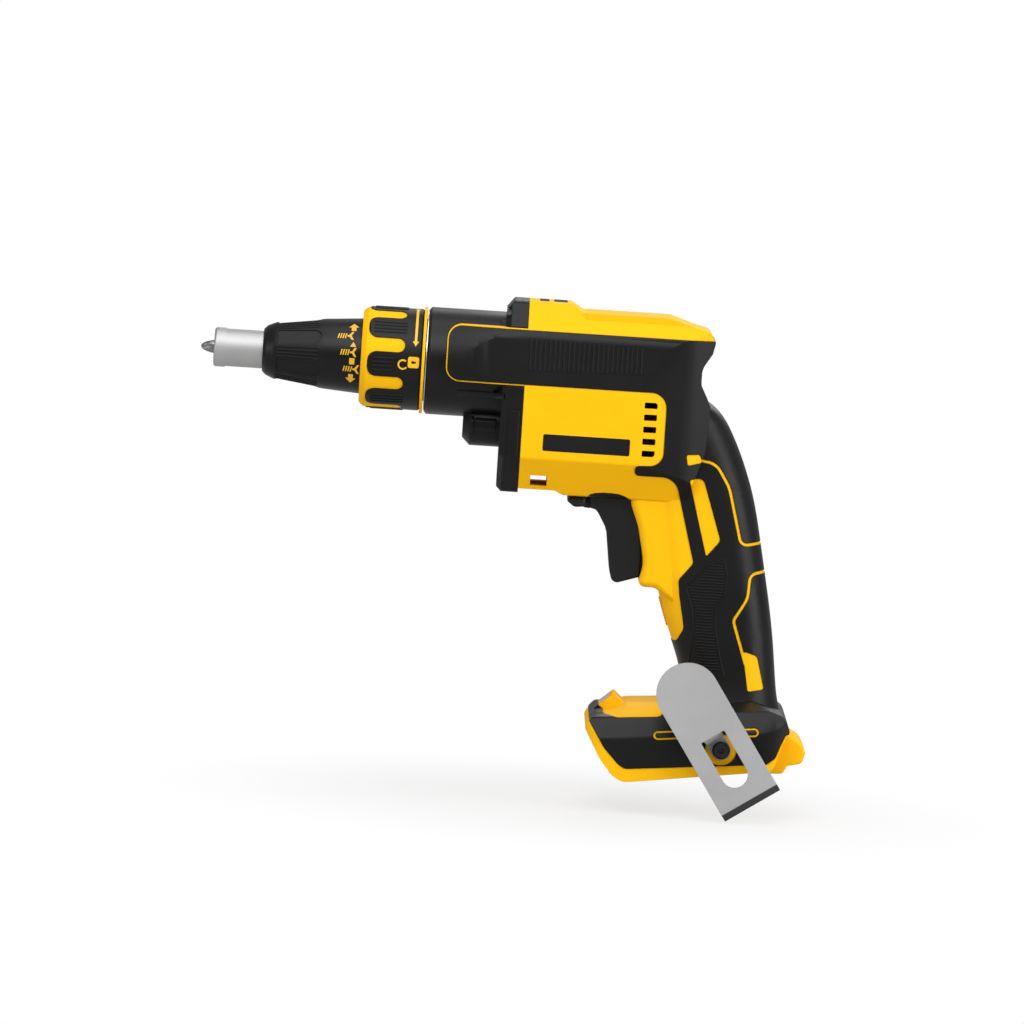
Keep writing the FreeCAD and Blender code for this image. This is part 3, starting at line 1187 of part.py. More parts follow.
def bay_bar(x_from, x_to, half, low, high):
    """Bar along the tilted underside, between two heights above it."""
    corners = [bay_point(x_from, low), bay_point(x_to, low), bay_point(x_to, high), bay_point(x_from, high)]
    return side_prism(Part.makePolygon(corners + corners[:1]), half)


def battery_bay(grow):
    start = SEAM_X
    end = SEAM_X + BAY_END_SHARE * HOUSING_LENGTH + grow
    upper = bay_bar(start, end, BAY_HALF + grow, RAIL_HEIGHT - grow, BAY_HEIGHT + grow)
    lower = bay_bar(start, end, RAIL_GAP_HALF + grow, -FOOT_TOP_HEIGHT, RAIL_HEIGHT)
    return upper.fuse(lower)


def terminal_block():
    x_from = TERMINAL_X - TERMINAL_BLOCK_LENGTH / 2
    x_to = TERMINAL_X + TERMINAL_BLOCK_LENGTH / 2 - SEAT_GAP
    return bay_bar(x_from, x_to, TERMINAL_BLOCK_HALF, BAY_HEIGHT - TERMINAL_BLOCK_HEIGHT,
                   BAY_HEIGHT - SEAT_GAP)


def battery_terminals():
    """Row of flat blades that stand out of the terminal block."""
    end = TERMINAL_X - TERMINAL_BLOCK_LENGTH / 2 - SEAT_GAP
    blade = bay_bar(end - TERMINAL_LENGTH, end, TERMINAL_THICKNESS / 2,
                    BAY_HEIGHT - TERMINAL_BLOCK_HEIGHT, BAY_HEIGHT - TERMINAL_BLOCK_HEIGHT + TERMINAL_HEIGHT)
    blades = []
    for index in range(TERMINAL_COUNT):
        copy = blade.copy()
        copy.translate(vec(0, (index - (TERMINAL_COUNT - 1) / 2) * TERMINAL_PITCH, 0))
        blades.append(copy)
    return Part.makeCompound(blades)


def lens_slab(low, high, half):
    """Slab parallel to the lamp wedge's front face, between two depths under it."""
    bottom = side(WEDGE_SHARES[0][0], WEDGE_SHARES[0][1])
    top = side(WEDGE_SHARES[1][0], WEDGE_SHARES[1][1])
    run = top - bottom
    inward = vec(run.z, 0, -run.x)
    inward.normalize()
    start = bottom + run * LENS_START_SHARE
    end = bottom + run * LENS_END_SHARE
    corners = [start + inward * low, end + inward * low, end + inward * high, start + inward * high]
    return side_prism(Part.makePolygon(corners + corners[:1]), half)


def led_lens():
    return lens_slab(-SIDE_GAP, LENS_THICKNESS - SIDE_GAP, LENS_HALF)


def led_board():
    top = LENS_THICKNESS - SIDE_GAP + SEAT_GAP
    return lens_slab(top, top + LED_BOARD_THICKNESS, LENS_HALF)


# Belt hook

def hook_point(along, across, y):
    start = side(HOOK_REFERENCE_SHARE[0], HOOK_REFERENCE_SHARE[1])
    slope = math.radians(HOOK_SLOPE)
    return vec(start.x + along * math.cos(slope) + across * math.sin(slope), y,
               start.z - along * math.sin(slope) + across * math.cos(slope))


def hook_outline(start, end, half, y_from, y_to, round_start, round_end):
    """Strip along the hook, with square or half-round ends."""
    corners = [hook_point(start, -half, 0), hook_point(end, -half, 0), hook_point(end, half, 0),
               hook_point(start, half, 0)]
    solid = side_slab(Part.makePolygon(corners + corners[:1]), y_from, y_to)
    for place, wanted in ((start, round_start), (end, round_end)):
        if wanted:
            centre = hook_point(place, 0, 0)
            solid = solid.fuse(cross_rod(centre.x, centre.z, y_from, y_to, half))
    return solid


def hook_bend(profile, half):
    """Bent part of the hook, from its (along, y) profile."""
    corners = [hook_point(along, -half, y) for along, y in profile]
    across = hook_point(0, half, 0) - hook_point(0, -half, 0)
    return Part.Face(Part.makePolygon(corners + corners[:1])).extrude(across)


def belt_hook():
    """Sheet-metal hook: slotted plate, pressed-in tab that the screw holds, and a lip."""
    plate_in = -FOOT_HALF - HOOK_GAP
    plate_out = plate_in - HOOK_THICKNESS
    end = HOOK_LENGTH - HOOK_TOP
    plate = hook_outline(HOOK_HALF - HOOK_TOP, end, HOOK_HALF, plate_out, plate_in, True, False)
    window = hook_outline(HOOK_WINDOW_START, HOOK_WINDOW_END - HOOK_WINDOW_HALF, HOOK_WINDOW_HALF,
                          plate_out - OVERRUN, plate_in + OVERRUN, False, True)
    slope = math.radians(HOOK_LIP_SLOPE)
    tip_y = plate_out + HOOK_LIP * math.tan(slope)
    bend = [(end - HOOK_THICKNESS, plate_out), (end, plate_out), (end + HOOK_LIP, tip_y),
            (end + HOOK_LIP - HOOK_THICKNESS * math.sin(slope), tip_y + HOOK_THICKNESS * math.cos(slope)),
            (end - HOOK_THICKNESS * math.tan(slope / 2), plate_in), (end - HOOK_THICKNESS, plate_in)]
    lip = hook_bend(bend, HOOK_HALF)
    tab_in = -FOOT_HALF - SIDE_GAP - SKIN_PROUD
    tab_out = tab_in - HOOK_THICKNESS
    tab_start = HOOK_WINDOW_START + HOOK_TAB_RUN
    tab = hook_outline(tab_start, HOOK_SCREW_PLACE, HOOK_TAB_HALF, tab_out, tab_in, False, True)
    profile = [(HOOK_WINDOW_START, plate_out), (tab_start + HOOK_THICKNESS, tab_out),
               (tab_start + HOOK_THICKNESS, tab_in), (tab_start - HOOK_THICKNESS / 2, tab_in),
               (HOOK_WINDOW_START - HOOK_THICKNESS, plate_in),
               (HOOK_WINDOW_START - HOOK_THICKNESS, plate_out)]
    web = hook_bend(profile, HOOK_TAB_HALF)
    screw = hook_point(HOOK_SCREW_PLACE, 0, 0)
    hole = cross_rod(screw.x, screw.z, plate_out - OVERRUN, 0, HOOK_SCREW_RADIUS + RUN_GAP)
    return plate.cut(window).fuse([lip, web, tab]).cut(hole).removeSplitter()


def belt_hook_screw():
    place = hook_point(HOOK_SCREW_PLACE, 0, 0)
    seat = -FOOT_HALF - SIDE_GAP - SKIN_PROUD - HOOK_THICKNESS - SEAT_GAP
    top = seat - HOOK_SCREW_HEAD_HEIGHT
    head = cross_rod(place.x, place.z, top, seat, HOOK_SCREW_HEAD_RADIUS)
    rim = [edge for edge in head.Edges if abs(edge.BoundBox.YMax - top) < SEAT_GAP]
    head = head.makeFillet(HOOK_SCREW_HEAD_HEIGHT / 2, rim)
    shank = cross_rod(place.x, place.z, seat - SEAT_GAP, seat + HOOK_THICKNESS + HOOK_SCREW_GRIP,
                      HOOK_SCREW_RADIUS)
    socket_end = top + HOOK_SCREW_HEAD_HEIGHT * HOOK_SOCKET_SHARE
    socket = cross_hexagon(place.x, place.z, top - OVERRUN, socket_end, HOOK_SCREW_SOCKET)
    return head.fuse(shank).cut(socket)


def insert_pair(radius, start, length):
    """Cylinders at the screw's place on both sides of the foot."""
    place = hook_point(HOOK_SCREW_PLACE, 0, 0)
    near = cross_rod(place.x, place.z, -start, -start + length, radius)
    far = cross_rod(place.x, place.z, start - length, start, radius)
    return [near, far]


def hook_inserts():
    outer = insert_pair(INSERT_RADIUS, FOOT_HALF - SEAT_GAP, INSERT_LENGTH)
    bores = insert_pair(HOOK_SCREW_RADIUS + SEAT_GAP, FOOT_HALF + OVERRUN, INSERT_LENGTH + 2 * OVERRUN)
    return Part.makeCompound([body.cut(bore) for body, bore in zip(outer, bores)])


# Housing and rubber

def body_solid(inset):
    """Motor housing with its top cap, shrunk by an inset."""
    outline = inset_wire(side_wire(BODY_SIDE_SHARES), inset)
    plan = [(SEAM_X + x_share * HOUSING_LENGTH, share * BODY_HALF) for x_share, share in BODY_PLAN_SHARES]
    corners = [vec(x, y, 0) for x, y in plan] + [vec(x, -y, 0) for x, y in reversed(plan)]
    radii = [0] + [BODY_HALF] * (len(plan) - 2) + [BODY_CORNER_RADIUS]
    plan_wire = inset_wire(rounded_wire(corners, radii + radii[::-1]), inset)
    plan_face = Part.Face(plan_wire)
    plan_face.translate(vec(0, 0, -HOUSING_DROP))
    plan_prism = plan_face.extrude(Z_AXIS * (2 * HOUSING_DROP))
    bar = body_bar(SEAM_X, SEAM_X + HOUSING_LENGTH, inset)
    return side_prism(outline, BODY_HALF * 2).common(bar).common(plan_prism)


def cap_lid():
    """Lid of the top cap, whose upright sides stand back from the shoulders."""
    x_from = SEAM_X + LID_START_SHARE * HOUSING_LENGTH
    x_to = SEAM_X + LID_END_SHARE * HOUSING_LENGTH
    lid = block(x_from, x_to, -LID_HALF, LID_HALF, BODY_SHOULDER_Z, BODY_TOP_Z)
    return lid.common(side_prism(side_wire(BODY_SIDE_SHARES), LID_HALF))


def handle_solid(inset):
    sections = []
    for z_share, front_share, rear_share, half_share in HANDLE_SHARES:
        z = z_share * HOUSING_DROP
        front = SEAM_X + front_share * HOUSING_LENGTH + inset
        rear = SEAM_X + rear_share * HOUSING_LENGTH - inset
        half = half_share * HANDLE_HALF - inset
        side_radius = HANDLE_CORNER_SHARE * half_share * HANDLE_HALF
        radius = min(side_radius, (rear - front) * HANDLE_END_SHARE + inset) - inset
        corners = [vec(front, -half, z), vec(rear, -half, z), vec(rear, half, z), vec(front, half, z)]
        sections.append(rounded_wire(corners, [radius] * 4))
    return Part.makeLoft(sections, True, False)


def foot_solid(inset):
    front = side(FOOT_SHARES[-3][0], FOOT_SHARES[-3][1])
    right = [(FOOT_HALF, -FOOT_TOP_HEIGHT), (FOOT_HALF, FOOT_BAND_HEIGHT),
             (FOOT_SHOULDER_HALF, FOOT_SHOULDER_HEIGHT), (FOOT_LEDGE_HALF, FOOT_TOP_HEIGHT + OVERRUN)]
    radii = [0, FOOT_EDGE_RADIUS * 2, FOOT_EDGE_RADIUS, FOOT_EDGE_RADIUS]
    points = [vec(0, y, z) for y, z in right] + [vec(0, -y, z) for y, z in reversed(right)]
    section = Part.Face(inset_wire(rounded_wire(points, radii + radii[::-1]), inset))
    reach = HOUSING_LENGTH
    section.translate(vec(front.x - reach, 0, front.z - reach * FOOT_RUN))
    bar = section.extrude(vec(2 * reach, 0, 2 * reach * FOOT_RUN))
    x_from = side(FOOT_SHARES[0][0], 0).x
    x_to = SEAM_X + HOUSING_LENGTH
    corners = [vec(x_from, -FOOT_HALF, 0), vec(x_to, -FOOT_HALF, 0), vec(x_to, FOOT_HALF, 0),
               vec(x_from, FOOT_HALF, 0)]
    plan_radii = [FOOT_CORNER_RADIUS, FOOT_CORNER_RADIUS * 2, FOOT_CORNER_RADIUS * 2, FOOT_CORNER_RADIUS]
    plan = Part.Face(inset_wire(rounded_wire(corners, plan_radii), inset))
    plan.translate(vec(0, 0, -2 * HOUSING_DROP))
    column = plan.extrude(Z_AXIS * (2 * HOUSING_DROP))
    return side_prism(inset_wire(side_wire(FOOT_SHARES), inset), FOOT_HALF * 2).common(bar).common(column)


def shell_solid(inset):
    """Whole outer form of the housing, shrunk by an inset."""
    parts = [handle_solid(inset), foot_solid(inset)]
    is_outside = inset == 0
    cheek = soft_prism(inset_wire(side_wire(CHEEK_SHARES), inset), CHEEK_HALF - inset,
                       is_outside * CHEEK_EDGE_RADIUS)
    rear = soft_prism(inset_wire(side_wire(REAR_BLOCK_SHARES), inset), REAR_BLOCK_HALF - inset,
                      is_outside * FOOT_EDGE_RADIUS / 2)
    wedge = side_prism(inset_wire(side_wire(WEDGE_SHARES), inset), WEDGE_HALF - inset)
    return body_solid(inset).fuse(parts + [cheek, rear, wedge])


def accent(shares):
    """Narrow band along a line of the side view."""
    corners = [side(row[0], row[1]) for row in shares]
    radii = [row[2] * HOUSING_DROP for row in shares]
    line = rounded_wire(corners, radii, closed=False)
    edge = line.makeOffset2D(-ACCENT_WIDTH / 2, 0, False, True)
    band = edge.makeOffset2D(ACCENT_WIDTH, 0, True, True)
    return side_prism(band if isinstance(band, Part.Wire) else band.Wires[0], FOOT_HALF * 2)


def slot_bar(width, y_from, y_to):
    """Round-ended bar along the foot's side slot."""
    start = side(SLOT_START_SHARE[0], SLOT_START_SHARE[1])
    end = side(SLOT_END_SHARE[0], SLOT_END_SHARE[1])
    across = (end - start).cross(Y_AXIS)
    across.normalize()
    across = across * (width / 2)
    corners = [start + across, end + across, end - across, start - across]
    bar = side_slab(Part.makePolygon(corners + corners[:1]), y_from, y_to)
    caps = [cross_rod(point.x, point.z, y_from, y_to, width / 2) for point in (start, end)]
    return bar.fuse(caps)


def rubber_zone():
    """Side view of the rubber grip with its insets left out, as a prism."""
    half = FOOT_HALF * 2
    grip = side_prism(side_wire(GRIP_SHARES), half)
    x_from = SEAM_X - EAR_START + EAR_EDGE
    x_to = SEAM_X + GRIP_SHARES[0][0] * HOUSING_LENGTH
    top = EAR_TOP_Z - EAR_EDGE
    bottom = EAR_EDGE - EAR_BOTTOM_Z
    corners = [vec(x_from, 0, top), vec(x_to, 0, top), vec(x_to, 0, bottom), vec(x_from, 0, bottom)]
    radius = EAR_RADIUS - EAR_EDGE
    panel = side_prism(rounded_wire(corners, [radius, 0, 0, radius]), half)
    patches = (INLAY_SHARES, UPPER_TAB_SHARES, LOWER_TAB_SHARES)
    insets = [side_prism(side_wire(shares), half) for shares in patches]
    boss = hook_point(HOOK_SCREW_PLACE, 0, 0)
    insets += [accent(UPPER_LINE_SHARES), accent(LOWER_LINE_SHARES),
               slot_bar(SLOT_FRAME_WIDTH, -half, half).cut(slot_bar(SLOT_WIDTH, -half, half)),
               cross_rod(boss.x, boss.z, -half, half, HOOK_BOSS_RADIUS)]
    return grip.fuse(panel).cut(insets)


def screw_places():
    return [side(x_share, z_share) for x_share, z_share in SCREW_SHARES]


def housing_screws():
    screws = []
    for place in screw_places():
        head = cross_rod(place.x, place.z, SCREW_HEAD_Y, SCREW_HEAD_Y + SCREW_HEAD_HEIGHT, SCREW_HEAD_RADIUS)
        shank = cross_rod(place.x, place.z, SCREW_HEAD_Y - SCREW_LENGTH, SCREW_HEAD_Y, SCREW_RADIUS)
        top = SCREW_HEAD_Y + SCREW_HEAD_HEIGHT
        socket = cross_hexagon(place.x, place.z, top - SCREW_HEAD_HEIGHT / 2, top + OVERRUN, SCREW_SOCKET)
        screws.append(head.fuse(shank).cut(socket))
    return Part.makeCompound(screws)


def ribs():
    """Walls inside the housing that seat the motor, the switch and the electronics."""
    half = FOOT_HALF
    low = SWITCH_TOP_SHARE * HOUSING_DROP
    walls = []
    for x in (STATOR_X + RIB_THICKNESS, STATOR_END - 2 * RIB_THICKNESS):
        walls.append(block(x, x + RIB_THICKNESS, -half, half, BODY_BOTTOM_Z, MODULE_BASE_Z - SIDE_GAP))
    bearing_half = MOTOR_BEARING_RADIUS + RIB_THICKNESS
    walls.append(block(REAR_BEARING_X, REAR_BEARING_X + MOTOR_BEARING_WIDTH, -half, half,
                       MOTOR_Z - bearing_half, MOTOR_Z + bearing_half))
    walls.append(block(GEAR_PLATE_END - RIB_THICKNESS, GEAR_PLATE_END - SEAT_GAP, -half, half,
                       BODY_BOTTOM_Z, BODY_TOP_Z))
    module_end = SEAM_X + MODULE_START + MODULE_LENGTH
    for x in (SEAM_X + MODULE_START + RIB_THICKNESS, module_end - 2 * RIB_THICKNESS):
        walls.append(block(x, x + RIB_THICKNESS, -half, half, MODULE_BASE_Z, BODY_TOP_Z))
    switch_x = switch_front()
    for z in (low - 2 * RIB_THICKNESS, low - SWITCH_HEIGHT + RIB_THICKNESS):
        walls.append(block(switch_x, SEAM_X + HOUSING_LENGTH, -half, half, z - RIB_THICKNESS, z))
    return walls


def bosses():
    """Screw posts inside the housing."""
    posts = []
    for place in screw_places():
        posts.append(cross_rod(place.x, place.z, -FOOT_HALF, FOOT_HALF, SCREW_BOSS_RADIUS))
    for y, z in case_screw_places():
        posts.append(rod(SEAM_X, CASE_SCREW_GRIP + RIB_THICKNESS, CASE_SCREW_BOSS_RADIUS, y, z))
    posts += insert_pair(INSERT_RADIUS + RIB_THICKNESS / 2, FOOT_HALF, INSERT_LENGTH)
    lanyard_x = SEAM_X + LANYARD_START_SHARE * HOUSING_LENGTH
    posts.append(block(lanyard_x - LANYARD_WALL, lanyard_x + LANYARD_LENGTH + LANYARD_WALL,
                       -BODY_HALF, BODY_HALF, BODY_BOTTOM_Z, -LANYARD_TOP_Z + LANYARD_WALL / 2))
    return posts


def openings():
    """Holes through the housing's walls: vents, slots, trigger slot and screw ways."""
    half = FOOT_HALF
    cuts = []
    vent_x = SEAM_X + VENT_X_SHARE * HOUSING_LENGTH
    vent_z = VENT_TOP_SHARE * HOUSING_DROP
    for index in range(VENT_COUNT):
        z = vent_z - index * VENT_PITCH
        front, rear = vent_x - VENT_LENGTH / 2, vent_x + VENT_LENGTH / 2
        top, bottom = z + VENT_HEIGHT / 2, z - VENT_HEIGHT / 2
        corners = [vec(front, 0, top), vec(rear, 0, top), vec(rear, 0, bottom), vec(front, 0, bottom)]
        radii = [VENT_CORNER_RADIUS] * 4
        if index == 0:
            radii[1] = VENT_SWEEP_RADIUS
        if index == VENT_COUNT - 1:
            radii[2] = VENT_SWEEP_RADIUS
        wire = rounded_wire(corners, radii)
        cuts.append(side_slab(wire, -half, -BODY_TOP_HALF))
        cuts.append(side_slab(wire, BODY_TOP_HALF, half))
    lanyard_x = SEAM_X + LANYARD_START_SHARE * HOUSING_LENGTH
    cuts.append(block(lanyard_x, lanyard_x + LANYARD_LENGTH, -half, half,
                      -LANYARD_TOP_Z - LANYARD_HEIGHT, -LANYARD_TOP_Z))
    cuts.append(side_prism(side_wire(TRIGGER_SLOT_SHARES), TRIGGER_HALF + SIDE_GAP))
    for place in screw_places():
        cuts.append(cross_rod(place.x, place.z, SCREW_HEAD_Y - SEAT_GAP, half + OVERRUN,
                              SCREW_HEAD_RADIUS + SIDE_GAP))
        cuts.append(cross_rod(place.x, place.z, SCREW_HEAD_Y - SCREW_LENGTH - SEAT_GAP, SCREW_HEAD_Y,
                              SCREW_RADIUS + SEAT_GAP))
    for y, z in case_screw_places():
        cuts.append(rod(SEAM_X - OVERRUN, OVERRUN + CASE_SCREW_GRIP + SEAT_GAP,
                        CASE_SCREW_RADIUS + SEAT_GAP, y, z))
    cuts += insert_pair(INSERT_RADIUS + SEAT_GAP, FOOT_HALF + OVERRUN, INSERT_LENGTH + OVERRUN + SEAT_GAP)
    return cuts


def seats():
    """Room for the pieces that the housing holds."""
    lever_room = block(switch_front() - SWITCH_LENGTH, lever_pivot_x() + LEVER_HUB_RADIUS + MOVE_GAP,
                       -LEVER_HUB_RADIUS * 2, LEVER_HUB_RADIUS * 2,
                       SWITCH_TOP_SHARE * HOUSING_DROP, lever_floor() + LEVER_THICKNESS + MOVE_GAP)
    rooms = [
        gear_plate_blank(GEAR_PLATE_X, GEAR_PLATE_LENGTH, SEAT_GAP),
        rod(STATOR_X - OVERRUN, STATOR_LENGTH + 2 * OVERRUN, STATOR_RADIUS + SEAT_GAP, 0, MOTOR_Z),
        rod(REAR_BEARING_X - OVERRUN, MOTOR_BEARING_WIDTH + OVERRUN, MOTOR_BEARING_RADIUS + SEAT_GAP,
            0, MOTOR_Z),
        rod(SEAM_X, HOUSING_LENGTH / 2, SHAFT_RADIUS + MOVE_GAP, 0, MOTOR_Z),
        module_box(SEAT_GAP), switch_box(SEAT_GAP), lever_room, battery_bay(0),
        lens_slab(-OVERRUN, LENS_THICKNESS + LED_BOARD_THICKNESS, LENS_HALF + SEAT_GAP)]
    for route in switch_lead_routes() + battery_lead_routes():
        rooms.append(pipe(route, LEAD_RADIUS + SIDE_GAP))
    return rooms


def housing_pieces():
    """Two housing halves and the rubber skins moulded on them."""
    outer = shell_solid(0).fuse([ears(0), cap_lid()])
    core = shell_solid(SKIN).fuse(ears(SKIN))
    proud = shell_solid(-SKIN_PROUD).fuse(ears(-SKIN_PROUD))
    zone = rubber_zone()
    hollow = shell_solid(WALL).cut(ribs() + bosses() + [battery_bay(BAY_WALL)])
    cuts = openings() + seats()
    skin = proud.cut(core).common(zone).cut(cuts)
    shell = outer.cut(zone.cut(core)).cut([hollow] + cuts)
    reach = SEAM_X + 2 * HOUSING_LENGTH
    near_side = block(0, reach, -reach, 0, -reach, reach)
    far_side = block(0, reach, 0, reach, -reach, reach)
    return {
        "housing_near": main_solids(shell.common(near_side), 1),
        "housing_far": main_solids(shell.common(far_side), 1),
        "grip_near": main_solids(skin.common(near_side), SKIN_PIECES),
        "grip_far": main_solids(skin.common(far_side), SKIN_PIECES),
    }


def main_solids(shape, count):
    """Largest solids of a shape, without the crumbs that cuts leave."""
    ordered = sorted(shape.Solids, key=lambda solid: solid.Volume, reverse=True)
    return Part.makeCompound(ordered[:count])


def build():
    nodes = {
        "driver_bit": driver_bit(), "bit_holder": bit_holder(), "bit_magnet": bit_magnet(),
        "bit_locator": bit_locator(), "nose_cone": nose_cone(),
        "depth_ring": depth_ring(), "nose_o_ring": nose_o_ring(),
        "depth_collar": depth_collar(), "collar_grip": collar_grip(),
        "collar_snap_ring": collar_snap_ring(), "collar_washer": collar_washer(),
        "gear_case": gear_case(), "gear_case_screws": gear_case_screws(), "spindle_bush": spindle_bush(),
        "spindle": spindle(), "thrust_washer": thrust_washer(), "clutch_spring": clutch_spring(),
        "output_gear": output_gear(), "gear_bearing": gear_bearing(), "gear_plate": gear_plate(),
        "front_bearing": front_bearing(), "rear_bearing": rear_bearing(), "motor_shaft": motor_shaft(),
        "pinion": pinion(), "rotor_core": rotor_core(), "rotor_magnets": rotor_magnets(),
        "cooling_fan": cooling_fan(), "stator_core": stator_core(), "stator_coils": stator_coils(),
        "sensor_board": sensor_board(), "trigger": trigger(), "switch_plunger": switch_plunger(),
        "trigger_spring": trigger_spring(), "switch_body": switch_body(),
        "direction_lever": direction_lever(), "control_module": control_module(),
        "phase_leads": Part.makeCompound(phase_leads()),
        "switch_leads": Part.makeCompound(leads(switch_lead_routes())),
        "battery_leads": Part.makeCompound(leads(battery_lead_routes())),
        "terminal_block": terminal_block(), "battery_terminals": battery_terminals(),
        "led_lens": led_lens(), "led_board": led_board(), "belt_hook": belt_hook(),
        "belt_hook_screw": belt_hook_screw(), "hook_inserts": hook_inserts(),
        "housing_screws": housing_screws(),
    }
    nodes.update(housing_pieces())
    return nodes


os.makedirs("parts", exist_ok=True)
for name, shape in build().items():
    shape.exportStep("parts/" + name + ".step")
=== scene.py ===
import math

import bmesh
import bpy
from mathutils import Matrix, Vector
from mathutils.bvhtree import BVHTree


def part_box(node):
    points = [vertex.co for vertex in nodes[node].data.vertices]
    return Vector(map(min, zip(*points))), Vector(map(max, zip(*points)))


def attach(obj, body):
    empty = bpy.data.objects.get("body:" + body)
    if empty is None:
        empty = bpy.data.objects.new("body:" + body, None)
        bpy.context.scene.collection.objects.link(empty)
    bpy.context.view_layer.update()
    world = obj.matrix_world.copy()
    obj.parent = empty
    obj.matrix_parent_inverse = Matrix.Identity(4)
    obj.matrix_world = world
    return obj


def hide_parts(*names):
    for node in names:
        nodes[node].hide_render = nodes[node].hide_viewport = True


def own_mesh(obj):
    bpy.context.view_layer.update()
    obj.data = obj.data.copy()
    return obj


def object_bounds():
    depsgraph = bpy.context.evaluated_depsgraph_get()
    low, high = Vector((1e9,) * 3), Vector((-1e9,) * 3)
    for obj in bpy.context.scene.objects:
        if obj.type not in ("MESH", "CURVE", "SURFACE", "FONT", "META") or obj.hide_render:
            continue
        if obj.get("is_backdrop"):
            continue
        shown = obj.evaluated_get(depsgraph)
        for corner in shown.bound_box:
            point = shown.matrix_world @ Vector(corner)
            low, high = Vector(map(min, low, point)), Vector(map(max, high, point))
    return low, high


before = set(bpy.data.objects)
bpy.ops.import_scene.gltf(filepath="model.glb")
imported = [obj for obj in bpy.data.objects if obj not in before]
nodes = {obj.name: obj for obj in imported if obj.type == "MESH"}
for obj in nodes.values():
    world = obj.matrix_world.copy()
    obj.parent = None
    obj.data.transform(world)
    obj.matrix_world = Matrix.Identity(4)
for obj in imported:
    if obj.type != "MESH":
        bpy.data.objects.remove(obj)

cad_low, cad_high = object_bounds()
mm = 0.001


# Motor: stacked sheet-steel stator and rotor with enamelled copper coils, block magnets,
# ball bearings and a moulded fan, all closed in by the housing.

def add_node(tree, kind, **inputs):
    """New shader node with its input sockets set by name."""
    node = tree.nodes.new(kind)
    for label, value in inputs.items():
        node.inputs[label.replace("_", " ")].default_value = value
    return node


def add_math(tree, kind, operation):
    """New math node, plain or for vectors, set to its operation."""
    node = tree.nodes.new(kind)
    node.operation = operation
    return node


def colour_mix(tree, share, under, over):
    """Mixes two colours, plain or from a socket, by a share that changes over the surface."""
    node = tree.nodes.new("ShaderNodeMix")
    node.data_type = "RGBA"
    tree.links.new(share, node.inputs[0])
    for place, colour in ((6, under), (7, over)):
        if isinstance(colour, bpy.types.NodeSocket):
            tree.links.new(colour, node.inputs[place])
        else:
            node.inputs[place].default_value = (*colour, 1)
    return node.outputs[2]


def mottle_group():
    """Two patterns that the finishes share: broad tone and fine surface height."""
    group = bpy.data.node_groups.new("surface_mottle", "ShaderNodeTree")
    for label, value in (("Tone Scale", 30.0), ("Grain Scale", 2500.0)):
        socket = group.interface.new_socket(label, in_out="INPUT", socket_type="NodeSocketFloat")
        socket.default_value = value
    socket = group.interface.new_socket("Stretch", in_out="INPUT", socket_type="NodeSocketVector")
    socket.default_value = (1.0, 1.0, 1.0)
    group.interface.new_socket("Tone", in_out="OUTPUT", socket_type="NodeSocketFloat")
    group.interface.new_socket("Height", in_out="OUTPUT", socket_type="NodeSocketFloat")
    entry = group.nodes.new("NodeGroupInput")
    result = group.nodes.new("NodeGroupOutput")
    place = group.nodes.new("ShaderNodeTexCoord")
    stretch = add_math(group, "ShaderNodeVectorMath", "MULTIPLY")
    tone = add_node(group, "ShaderNodeTexNoise", Detail=4.0, Roughness=0.6)
    spread = add_node(group, "ShaderNodeMapRange", From_Min=0.3, From_Max=0.7)
    grain = add_node(group, "ShaderNodeTexNoise", Detail=2.0, Roughness=0.5)
    link = group.links.new
    link(place.outputs["Object"], tone.inputs["Vector"])
    link(entry.outputs["Tone Scale"], tone.inputs["Scale"])
    link(place.outputs["Object"], stretch.inputs[0])
    link(entry.outputs["Stretch"], stretch.inputs[1])
    link(stretch.outputs["Vector"], grain.inputs["Vector"])
    link(entry.outputs["Grain Scale"], grain.inputs["Scale"])
    link(tone.outputs["Fac"], spread.inputs["Value"])
    link(spread.outputs["Result"], result.inputs["Tone"])
    link(grain.outputs["Fac"], result.inputs["Height"])
    return group


surface_mottle = mottle_group()
tone_scale = 30.0


def finish_material(name, deep, pale, gloss, grain, depth, metallic=0.0, stretch=(1, 1, 1), edge=0.0,
                    shine=0.5):
    """Finish with two close tones, a roughness that follows them, a fine relief and softened edges."""
    material = bpy.data.materials.new(name)
    material.use_nodes = True
    tree = material.node_tree
    shader = tree.nodes["Principled BSDF"]
    shader.inputs["Metallic"].default_value = metallic
    shader.inputs["Specular IOR Level"].default_value = shine
    mottle = tree.nodes.new("ShaderNodeGroup")
    mottle.node_tree = surface_mottle
    for label, value in (("Tone Scale", tone_scale), ("Grain Scale", grain), ("Stretch", stretch)):
        mottle.inputs[label].default_value = value
    rough = add_node(tree, "ShaderNodeMapRange", To_Min=gloss[0], To_Max=gloss[1])
    relief = add_node(tree, "ShaderNodeBump", Strength=1.0, Distance=depth)
    tree.links.new(colour_mix(tree, mottle.outputs["Tone"], deep, pale), shader.inputs["Base Color"])
    tree.links.new(mottle.outputs["Tone"], rough.inputs["Value"])
    tree.links.new(rough.outputs["Result"], shader.inputs["Roughness"])
    tree.links.new(mottle.outputs["Height"], relief.inputs["Height"])
    tree.links.new(relief.outputs["Normal"], shader.inputs["Normal"])
    if edge:
        softened = add_node(tree, "ShaderNodeBevel", Radius=edge)
        softened.samples = 4
        tree.links.new(softened.outputs["Normal"], relief.inputs["Normal"])
    return material


def dress(material, *names):
    """Gives CAD nodes that stay as they are their finish."""
    for name in names:
        mesh = nodes[name].data
        mesh.materials.clear()
        mesh.materials.append(material)


